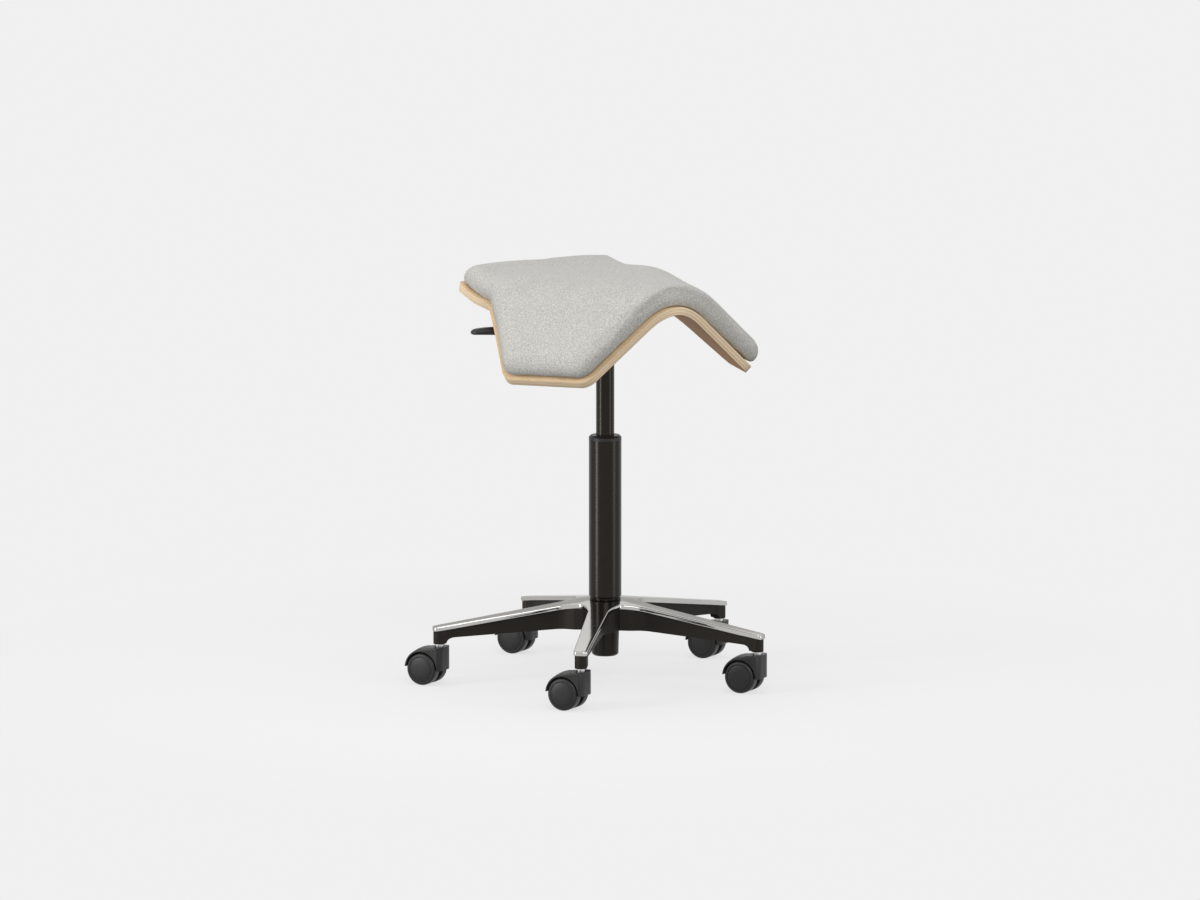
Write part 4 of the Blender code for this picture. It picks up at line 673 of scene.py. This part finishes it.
star_edge = []
for arm in range(ARMS):
    for side, run in ((-1.0, half_arm), (1.0, half_arm[:0:-1])):
        for radius, half in run:
            turn = FIRST_ARM + SECTOR * arm + side * math.asin(half / radius)
            star_edge.append(Vector((radius * math.cos(turn), radius * math.sin(turn))))
for relax_pass in range(RELAX_PASSES):
    eased = []
    for i, point in enumerate(star_edge):
        between = (star_edge[i - 1] + star_edge[(i + 1) % len(star_edge)]) / 2.0
        eased.append(point.lerp(between, RELAX_SHARE) if point.length < RELAX_WITHIN else point)
    star_edge = eased
print("points round the star:", len(star_edge))

# %% [markdown]
# On top of the star lies a polished plate with a rounded rim that stands a little over the black body. Its
# upper face falls towards the tips like a very flat cone. The plate is one closed ring of outlines: along
# its lower face outwards, round the rim, back along the upper face, and down through the hub's hole.

# %% Polished star plate
HUB_HOLE = 0.0236
HUB_TOP = 0.127
FLAT_TO = 0.025
ARM_FALL = 0.155
PLATE = 7.0 * MM
RIM_ROUND = 1.7 * MM
RIM_STEPS = 5
FACE_SHARES = (0.12, 0.3, 0.5, 0.75)


def star_ring(share, outset, drop):
    """A ring between the hub's hole (share 0) and the star's edge (share 1), under its upper face."""
    ring = []
    for i, point in enumerate(star_edge):
        along = (star_edge[(i + 1) % len(star_edge)] - star_edge[i - 1]).normalized()
        edge_point = point + Vector((along.y, -along.x)) * outset
        turn = FIRST_ARM - SECTOR / 2.0 + 2.0 * math.pi * i / len(star_edge)
        hub_point = Vector((math.cos(turn), math.sin(turn))) * HUB_HOLE
        place = hub_point.lerp(edge_point, share)
        fall = ARM_FALL * max(0.0, place.length - FLAT_TO)
        ring.append(column + Vector((place.x, place.y, HUB_TOP - fall - drop)))
    return ring


plate_rings = [star_ring(share, -RIM_ROUND, PLATE) for share in (0.0,) + FACE_SHARES]
for low in (True, False):
    for k in range(RIM_STEPS + 1):
        turn = math.pi / 2.0 * k / RIM_STEPS
        out, up = (math.sin(turn), math.cos(turn)) if low else (math.cos(turn), math.sin(turn))
        drop = PLATE - RIM_ROUND * (1.0 - up) if low else RIM_ROUND * (1.0 - up)
        plate_rings.append(star_ring(1.0, RIM_ROUND * (out - 1.0), drop))
plate_rings += [star_ring(share, -RIM_ROUND, 0.0) for share in FACE_SHARES[::-1] + (0.0,)]
star = extruded_rings("star_plate", plate_rings, ends="joined")
dressed(star, polish, "base", "polished_aluminium", "base_casting", smooth=50.0)

# %% [markdown]
# Solids whose shape is right are copied rather than made again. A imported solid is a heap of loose
# triangles with flat shading, so each copy is merged, its shading is smoothed up to sharp edges, and it
# stands for its solid.

# %% Smooth copies of right solids
MERGE_WITHIN = 0.005 * MM
SCREWS = 4


def merged_copy(solid, name):
    """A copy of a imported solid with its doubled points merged."""
    piece = copied(nodes[solid], name)
    take(piece)
    bpy.ops.mesh.customdata_custom_splitnormals_clear()
    bpy.ops.object.mode_set(mode="EDIT")
    bpy.ops.mesh.select_all(action="SELECT")
    bpy.ops.mesh.remove_doubles(threshold=MERGE_WITHIN)
    bpy.ops.object.mode_set(mode="OBJECT")
    return piece


def smooth_copy(solid, name, finish, slot, smooth=35.0):
    """A merged copy of a solid, smoothly shaded, that stands for it."""
    dressed(merged_copy(solid, name), finish, body_of(nodes[solid])[0], slot, solid, smooth=smooth)


for number in range(1, ARMS + 1):
    smooth_copy(f"caster_stem_{number}", f"stem_{number}", chrome, "bright_steel")
    smooth_copy(f"caster_axle_{number}", f"axle_{number}", chrome, "bright_steel")
for solid in ("lever_arm", "taper_socket", "seat_plate", "lever_bracket"):
    smooth_copy(solid, solid + "_smooth", powder, "black_powder_coat")
smooth_copy("lever_pin", "lever_pin_smooth", chrome, "bright_steel")
for number in range(1, SCREWS + 1):
    smooth_copy(f"plate_screw_{number}", f"plate_screw_{number}_smooth", zinc, "zinc_plated_steel")

# %% [markdown]
# Under the plate the casting is coated black: arms with hollow, ribbed undersides, the hub and the caster
# bosses. The solid casting has plate and body in one, so a star-shaped cutter takes its plate off just
# under the polished one, and the body below is kept. On the real arm the walls stand back under the
# plate, between the hub and the boss, so the body is cut across by planes there and drawn in.

# %% Black body of the casting
CUT_UNDER = 0.25 * MM
CUT_OUT = 1.0 * MM
CUT_TOP = 0.150
WALL_AT = (0.052, 0.058, 0.066, 0.076, 0.232, 0.237, 0.242, 0.2465)     # distances from the column
WALL_LEFT = (1.0, 0.9, 0.66, 0.5, 0.46, 0.52, 0.7, 1.0)     # share of the width that is left there


def arm_way(arm):
    """The level direction in which an arm points."""
    turn = FIRST_ARM + SECTOR * arm
    return Vector((math.cos(turn), math.sin(turn), 0.0))


body = merged_copy("base_casting", "casting_body")
cut_rings = [star_ring(share, CUT_OUT, PLATE + CUT_UNDER) for share in (0.0,) + FACE_SHARES + (1.0,)]
cut_rings.append([Vector((point.x, point.y, CUT_TOP)) for point in cut_rings[-1]])
cutter = extruded_rings("cutter", cut_rings)
modified(body, "BOOLEAN", object=cutter, operation="DIFFERENCE", solver="EXACT")
bpy.data.objects.remove(cutter)
take(body)
bpy.ops.object.mode_set(mode="EDIT")
for arm in range(ARMS):
    along = arm_way(arm)
    for radius in WALL_AT:
        bpy.ops.mesh.select_all(action="SELECT")
        bpy.ops.mesh.bisect(plane_co=column + along * radius, plane_no=along)
bpy.ops.object.mode_set(mode="OBJECT")
for point in body.data.vertices:
    local = point.co - column
    along = arm_way(round((math.atan2(local.y, local.x) - FIRST_ARM) / SECTOR))
    run = local.dot(along)
    across = Vector((local.x, local.y, 0.0)) - along * run
    for near, far, left, next_left in zip(WALL_AT, WALL_AT[1:], WALL_LEFT, WALL_LEFT[1:]):
        if near < run <= far:
            kept = left + (next_left - left) * (run - near) / (far - near)
            point.co -= across * (1.0 - kept)
dressed(body, casting_coat, "base", "black_powder_coat", "base_casting")

# %% [markdown]
# The column is three turned pieces: the wide tube, the plastic collar of its guide bush, and the slim gas
# cylinder that slides in it. Their solids have fine rounds already, so smooth copies keep the outline and
# let the long highlights run clean.

# %% Column tube, collar and gas cylinder
smooth_copy("column_tube", "column_tube_smooth", powder, "black_powder_coat", smooth=25.0)
smooth_copy("guide_bush", "guide_bush_smooth", nylon, "black_nylon", smooth=25.0)
smooth_copy("gas_cylinder", "gas_cylinder_smooth", powder, "black_powder_coat", smooth=25.0)

# %% [markdown]
# The lever ends in a moulded grip: a collar round the rod that widens into a paddle with a round, slightly
# drooping tip. Its sections are rounded oblongs, so rings of them are extruded along the lever, close
# together at the tip where the form turns in.

# %% Lever grip
LEVER_TURN = math.radians(147.0)
GRIP_START, GRIP_END = 0.126, 0.205     # from the column, along the lever
GRIP_Z = 0.5401
GRIP_HALF, COLLAR_HALF = 0.0115, 0.0066
GRIP_WIDENING = 0.032                   # length over which the collar widens to the paddle
WIDE_END, THICK_END = 0.80, 0.92        # shares of the length where the round ends start
THINNING, THINNING_POWER = 0.40, 3.0
DROOP, DROOP_POWER = 0.0022, 5.0
SQUARE_WIDE, SQUARE_THICK = 0.7, 0.8    # below 1, the sections are squarer than an ellipse
BLUNT = 0.0016                          # keeps the last ring open, as a squared share of the width
GRIP_STATIONS, GRIP_CORNERS = 40, 32


def round_end(run, start):
    """What is left of a width past the start of a round end."""
    past = max(0.0, (run - start) / (1.0 - start))
    return math.sqrt(max(BLUNT, 1.0 - past ** 2))


grip_rings = []
for k in range(GRIP_STATIONS + 1):
    run = math.sin(math.pi / 2.0 * k / GRIP_STATIONS)
    spread = math.sin(min(1.0, run * (GRIP_END - GRIP_START) / GRIP_WIDENING) * math.pi / 2.0)
    wide = (COLLAR_HALF + (GRIP_HALF - COLLAR_HALF) * spread) * round_end(run, WIDE_END)
    thick = COLLAR_HALF * (1.0 - THINNING * run ** THINNING_POWER) * round_end(run, THICK_END)
    middle = GRIP_Z - DROOP * run ** DROOP_POWER
    ring = []
    for i in range(GRIP_CORNERS):
        angle = 2.0 * math.pi * i / GRIP_CORNERS
        across = math.copysign(abs(math.cos(angle)) ** SQUARE_WIDE, math.cos(angle)) * wide
        up = math.copysign(abs(math.sin(angle)) ** SQUARE_THICK, math.sin(angle)) * thick
        spot = Vector((GRIP_START + (GRIP_END - GRIP_START) * run, across, middle + up))
        ring.append(column + Matrix.Rotation(LEVER_TURN, 3, "Z") @ spot)
    grip_rings.append(ring)
grip = extruded_rings("lever_grip", grip_rings)
dressed(grip, nylon, "lever", "black_nylon", "lever_paddle", smooth=50.0)

# %% [markdown]
# Each caster has two wheels of hard nylon with a smooth face, a fine groove near the rim and a rounded
# tread. A wheel starts as a cylinder at its size; its rims are bevelled, its outer face is inset into the
# groove and a shallow dome, and its inner face is inset and pushed in to make the hollow side. The other
# nine are copies.

# %% Caster wheels
SOLID_RADIUS = 0.025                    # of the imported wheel, which stands on one of its flat sides
AXLE_Z = SOLID_RADIUS * math.cos(math.pi / 20.0)
WHEEL_RADIUS = AXLE_Z                   # so that the round wheel just touches the floor
WHEEL_INNER, WHEEL_OUTER = 0.0062, 0.0218
TREAD_ROUND, INNER_ROUND = 4.0 * MM, 1.5 * MM
FACE_INSETS = ((1.2, 0.0), (0.35, -0.6), (0.3, 0.0), (0.35, 0.5), (1.0, 0.3), (4.0, 0.6), (6.0, 0.4))
HOLLOW_INSETS = ((4.0, 0.0), (0.5, -6.0), (10.0, 0.0))      # each a way in and a rise, in millimetres
CASTER_TURN = math.radians(117.0)


def select_faces(piece, wanted):
    """Selects the faces that a test on the face accepts, in edit mode."""
    bpy.ops.mesh.select_all(action="DESELECT")
    shape = bmesh.from_edit_mesh(piece.data)
    for side in shape.faces:
        if wanted(side):
            side.select_set(True)
    bmesh.update_edit_mesh(piece.data)


fresh()
bpy.ops.mesh.primitive_cylinder_add(vertices=80, radius=WHEEL_RADIUS, depth=WHEEL_OUTER - WHEEL_INNER)
wheel = bpy.context.object
wheel.name = "wheel"
bpy.ops.object.mode_set(mode="EDIT")
select_faces(wheel, lambda side: side.normal.z > 0.9)
bpy.ops.mesh.bevel(offset=TREAD_ROUND, segments=6, affect="EDGES")
select_faces(wheel, lambda side: side.normal.z < -0.9)
bpy.ops.mesh.bevel(offset=INNER_ROUND, segments=3, affect="EDGES")
select_faces(wheel, lambda side: side.normal.z > 0.999)
for way_in, rise in FACE_INSETS:
    bpy.ops.mesh.inset(thickness=way_in * MM, depth=rise * MM)
select_faces(wheel, lambda side: side.normal.z < -0.999)
for way_in, rise in HOLLOW_INSETS:
    bpy.ops.mesh.inset(thickness=way_in * MM, depth=rise * MM)
bpy.ops.object.mode_set(mode="OBJECT")
settle(wheel)

for number in range(1, ARMS + 1):
    for side in ("left", "right"):
        solid = f"caster_wheel_{number}_{side}"
        low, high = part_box(solid)
        across = Vector((-math.sin(CASTER_TURN), math.cos(CASTER_TURN), 0.0))
        hood_low, hood_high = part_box(f"caster_hood_{number}")
        outward = (low + high) / 2.0 - (hood_low + hood_high) / 2.0
        if outward.dot(across) < 0.0:
            across = -across
        upright = Vector((0.0, 0.0, 1.0))
        turn = Matrix((upright.cross(across), upright, across)).transposed().to_4x4()
        copy = copied(wheel, f"wheel_{number}_{side}")
        copy.data.transform(Matrix.Translation((low + high) / 2.0) @ turn)
        dressed(copy, nylon, f"wheel_{number}_{side}", "black_nylon", solid, smooth=30.0)
bpy.data.objects.remove(wheel)

# %% [markdown]
# The hood covers both wheels. Seen from the side it is a quarter arc over the wheel that ends in a thin
# tip, with a block in front that holds the stem. Across its width the top is crowned, and a mould rounds
# every edge. So the side outline, with its own small round corners, is lofted across, and towards both
# sides it shrinks along a quarter circle. The round pocket for the stem is cut with a Boolean.

# %% Caster hoods
TRAIL = 0.0215
HOOD_HALF, HOOD_FRONT_HALF = 0.0200, 0.0119
HOOD_STATIONS = (0.0, 0.006, HOOD_FRONT_HALF, 0.0155)       # sections from the middle outwards
HOOD_TOP, HOOD_BOTTOM = 0.0588, 0.0230
HOOD_FRONT, HOOD_SIDE_FRONT = 0.0101, 0.0063
HOOD_SIDE_RADIUS = 0.0295
HOOD_FLAT = 0.0095
HOOD_INNER = SOLID_RADIUS + 1.4 * MM
HOOD_TIP, TIP_RISE = 2.4 * MM, 2.6 * MM
HOOD_ROUND = 0.9 * MM
HOOD_STEPS, INNER_STEPS, CORNER_POINTS, SIDE_POINTS = 16, 20, 4, 5
POCKET_RADIUS, POCKET_DEEP = 0.0072, 0.006


def softened(points, corners, reach):
    """An outline with some of its corners, by number, cut by short round bends."""
    result = []
    for i, point in enumerate(points):
        if i not in corners:
            result.append(point)
            continue
        before = points[i - 1] - point
        after = points[(i + 1) % len(points)] - point
        start = point + before.normalized() * min(reach, 0.4 * before.length)
        end = point + after.normalized() * min(reach, 0.4 * after.length)
        for k in range(CORNER_POINTS):
            share = k / (CORNER_POINTS - 1)
            result.append(start.lerp(point, share).lerp(point.lerp(end, share), share))
    return result


def hood_outline(across, shrink):
    """Side outline at a distance from the middle plane, along the trail and up, made smaller all round."""
    edge = min(1.0, abs(across) / HOOD_HALF)
    lean = max(0.0, (abs(across) - HOOD_FRONT_HALF) / (HOOD_HALF - HOOD_FRONT_HALF))
    front = -(HOOD_FRONT + (HOOD_SIDE_FRONT - HOOD_FRONT) * lean) + shrink
    middle_rise = HOOD_TOP - AXLE_Z
    rise = middle_rise + (HOOD_SIDE_RADIUS - middle_rise) * edge ** 2 - shrink
    centre = TRAIL - (middle_rise - HOOD_SIDE_RADIUS) * (1.0 - edge ** 2)
    end = TRAIL + HOOD_INNER + HOOD_TIP - shrink
    inner = HOOD_INNER + shrink
    tip_rise = TIP_RISE + shrink
    points = []
    start = math.asin(tip_rise / rise)
    for k in range(HOOD_STEPS + 1):
        angle = start + (math.pi / 2.0 - start) * k / HOOD_STEPS
        points.append(Vector((centre + (end - centre) * math.cos(angle), AXLE_Z + rise * math.sin(angle))))
    points.append(Vector((HOOD_FLAT, HOOD_TOP - shrink)))
    block = len(points)
    points.append(Vector((front, HOOD_TOP - shrink)))
    points.append(Vector((front, HOOD_BOTTOM + shrink)))
    low = math.pi - math.asin((HOOD_BOTTOM + shrink - AXLE_Z) / inner)
    high = math.asin(tip_rise / inner)
    for k in range(INNER_STEPS + 1):
        angle = low + (high - low) * k / INNER_STEPS
        points.append(Vector((TRAIL + inner * math.cos(angle), AXLE_Z + inner * math.sin(angle))))
    return softened(points, (0, block, block + 1, block + 2, len(points) - 1), HOOD_ROUND)


half_stations = [(across, 0.0) for across in HOOD_STATIONS]
for k in range(SIDE_POINTS):
    turn = math.pi / 2.0 * k / (SIDE_POINTS - 1)
    half_stations.append((HOOD_HALF - HOOD_ROUND * (1.0 - math.sin(turn)),
                          HOOD_ROUND * (1.0 - math.cos(turn))))
stations = [(-across, shrink) for across, shrink in half_stations[:0:-1]] + half_stations
hood = extruded_rings("hood", [[Vector((point.x, across, point.y))
                                for point in hood_outline(across, shrink)] for across, shrink in stations])
fresh()
bpy.ops.mesh.primitive_cylinder_add(vertices=40, radius=POCKET_RADIUS, depth=2.0 * POCKET_DEEP,
                                    location=(0.0, 0.0, HOOD_TOP))
cutter = bpy.context.object
modified(hood, "BOOLEAN", object=cutter, operation="DIFFERENCE", solver="EXACT")
bpy.data.objects.remove(cutter)
print("hood has", len(hood.data.polygons), "faces")

# %% [markdown]
# Between the wheels a web carries the axle. It is a flat plate with a round lobe below the axle, so a
# circle with the right number of corners is shaped to its outline and extruded across.

# %% Webs, and a copy of hood and web for every caster
WEB_HALF = 0.0055
WEB_ROUND = 0.6 * MM
WEB_ARCS = ((10.0, 170.0, 0.0283, 28), (215.0, 325.0, 0.009, 12))   # degrees, radius and steps of each arc

web_outline = []
for first, last, radius, steps in WEB_ARCS:
    for k in range(steps + 1):
        angle = math.radians(first + (last - first) * k / steps)
        web_outline.append((TRAIL + radius * math.cos(angle), AXLE_Z + radius * math.sin(angle)))
web = extruded_rings("web", [[Vector((x, y, z)) for x, z in web_outline] for y in (-WEB_HALF, WEB_HALF)])
modified(web, "BEVEL", width=WEB_ROUND, segments=2, limit_method="ANGLE", angle_limit=math.radians(50.0))

for number in range(1, ARMS + 1):
    low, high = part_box(f"caster_stem_{number}")
    stem = Vector(((low.x + high.x) / 2.0, (low.y + high.y) / 2.0, 0.0))
    for master in (hood, web):
        copy = copied(master, f"{master.name}_{number}")
        copy.data.transform(Matrix.Translation(stem) @ Matrix.Rotation(CASTER_TURN, 4, "Z"))
        dressed(copy, nylon, f"caster_{number}", "black_nylon", f"caster_hood_{number}", smooth=35.0)
for master in (hood, web):
    bpy.data.objects.remove(master)

# %% [markdown]
# The picture has a plain pale ground with soft shadows and no horizon. A round floor fades out towards
# its rim, so that the same pale grey of the surroundings takes over. To the camera and in reflections both
# show that grey, and the light that they throw on the chair is set apart from it and weaker.

# %% Floor and surroundings
PALE = "#F0F0F0"
THROWN = "#5E5E5E"                      # the floor's colour for the light that it throws back
FLOOR_RADIUS, FLOOR_DROP = 1.2, 0.4 * MM
FLOOR_CLEAR_FROM, FLOOR_CLEAR_AT = 0.45, 1.1
GLOW_SHARE, GLOW = 0.74, 1.05
SKY_LOW, SKY_HIGH = -0.25, 0.35         # upward part of a direction
DIM, BRIGHT = 0.05, 0.46                # strength of the surroundings there, as light on the chair


def shown_rays(owner):
    """One for the rays that show the studio itself: seen, mirrored or through something clear."""
    rays = node(owner, "LightPath", {}).outputs
    seen = node(owner, "Math", {0: rays["Is Camera Ray"], 1: rays["Is Glossy Ray"]}, operation="ADD")
    shown = node(owner, "Math", {0: seen.outputs[0], 1: rays["Is Transmission Ray"]},
                 operation="ADD", use_clamp=True)
    return shown.outputs[0]


ground, ground_shader, ground_place = new_material("studio_floor_paper", 0.9)
bounce = node(ground, "LightPath", {}).outputs["Is Diffuse Ray"]
floor_colour = node(ground, "Mix", {0: bounce, 6: linear(PALE), 7: linear(THROWN)}, data_type="RGBA")
feed(ground_shader, "Base Color", floor_colour.outputs[2])
ground_shader.inputs["Specular IOR Level"].default_value = 0.0
paleness = node(ground, "Math", {0: shown_rays(ground), 1: GLOW_SHARE}, operation="MULTIPLY")
glow = node(ground, "Emission", {"Color": linear(PALE), "Strength": GLOW})
lit = node(ground, "MixShader", {0: paleness.outputs[0], 1: ground_shader.outputs[0], 2: glow.outputs[0]})
reach = node(ground, "VectorMath", {0: ground_place}, operation="LENGTH")
fade = node(ground, "MapRange", {"Value": reach.outputs["Value"], "From Min": FLOOR_CLEAR_FROM,
                                 "From Max": FLOOR_CLEAR_AT}, interpolation_type="SMOOTHSTEP")
clear = node(ground, "BsdfTransparent", {})
blend = node(ground, "MixShader", {0: fade.outputs["Result"], 1: lit.outputs[0], 2: clear.outputs[0]})
feed(ground.node_tree.nodes["Material Output"], "Surface", blend.outputs[0])
fresh()
bpy.ops.mesh.primitive_circle_add(vertices=96, radius=FLOOR_RADIUS, fill_type="NGON",
                                  location=(0.0, 0.0, -FLOOR_DROP))
floor = bpy.context.object
floor.name = "studio_floor"
floor.data.materials.append(ground)

world = bpy.data.worlds.new("studio")
bpy.context.scene.world = world
world.use_nodes = True
paper = world.node_tree.nodes["Background"]
paper.inputs["Color"].default_value = linear(PALE)
heading = node(world, "TexCoord", {}).outputs["Generated"]
upward = node(world, "SeparateXYZ", {"Vector": heading}).outputs["Z"]
sky = node(world, "MapRange", {"Value": upward, "From Min": SKY_LOW, "From Max": SKY_HIGH, "To Min": DIM,
                               "To Max": BRIGHT})
strength = node(world, "MapRange", {"Value": shown_rays(world), "To Min": sky.outputs["Result"],
                                    "To Max": 1.0})
feed(paper, "Strength", strength.outputs["Result"])
print("floor is", 2.0 * FLOOR_RADIUS, "m across")

# %% [markdown]
# A tall soft lamp stands on the left and a weaker one on the right. They reach down past the floor's rim,
# because the upright tube mirrors what lies low around it, and each draws a long streak on the tube. A
# third lamp fills in from beside the camera, a broad one hangs overhead, and a weak one at the back is
# there for the polished front arm to mirror. An upright lamp points level at the column, and the others
# at the point that the camera looks at.

# %% Lamps
LAMPS = [                               # name, place, width, height and power in watts
    ("key_left", (-2.77, 0.36, 0.9), 0.6, 2.8, 48.0),
    ("rim_right", (1.46, -2.42, 0.9), 0.8, 2.8, 19.0),
    ("fill_front", (-1.4, -2.6, 1.9), 1.6, 1.6, 36.0),
    ("overhead", (0.0, 0.2, 3.4), 2.4, 2.4, 21.0),
    ("high_back", (1.85, 2.65, 1.95), 1.8, 1.3, 3.8),
]

for name, place, width, height, power in LAMPS:
    fresh()
    bpy.ops.object.light_add(type="AREA", location=place)
    lamp = bpy.context.object
    lamp.name = name
    lamp.data.shape = "RECTANGLE"
    lamp.data.size = width
    lamp.data.size_y = height
    lamp.data.energy = power
    target = Vector((column.x, column.y, place[2])) if height > width else aim
    lamp.rotation_euler = (target - Vector(place)).to_track_quat("-Z", "Y").to_euler()
print("hung", len(LAMPS), "lamps")
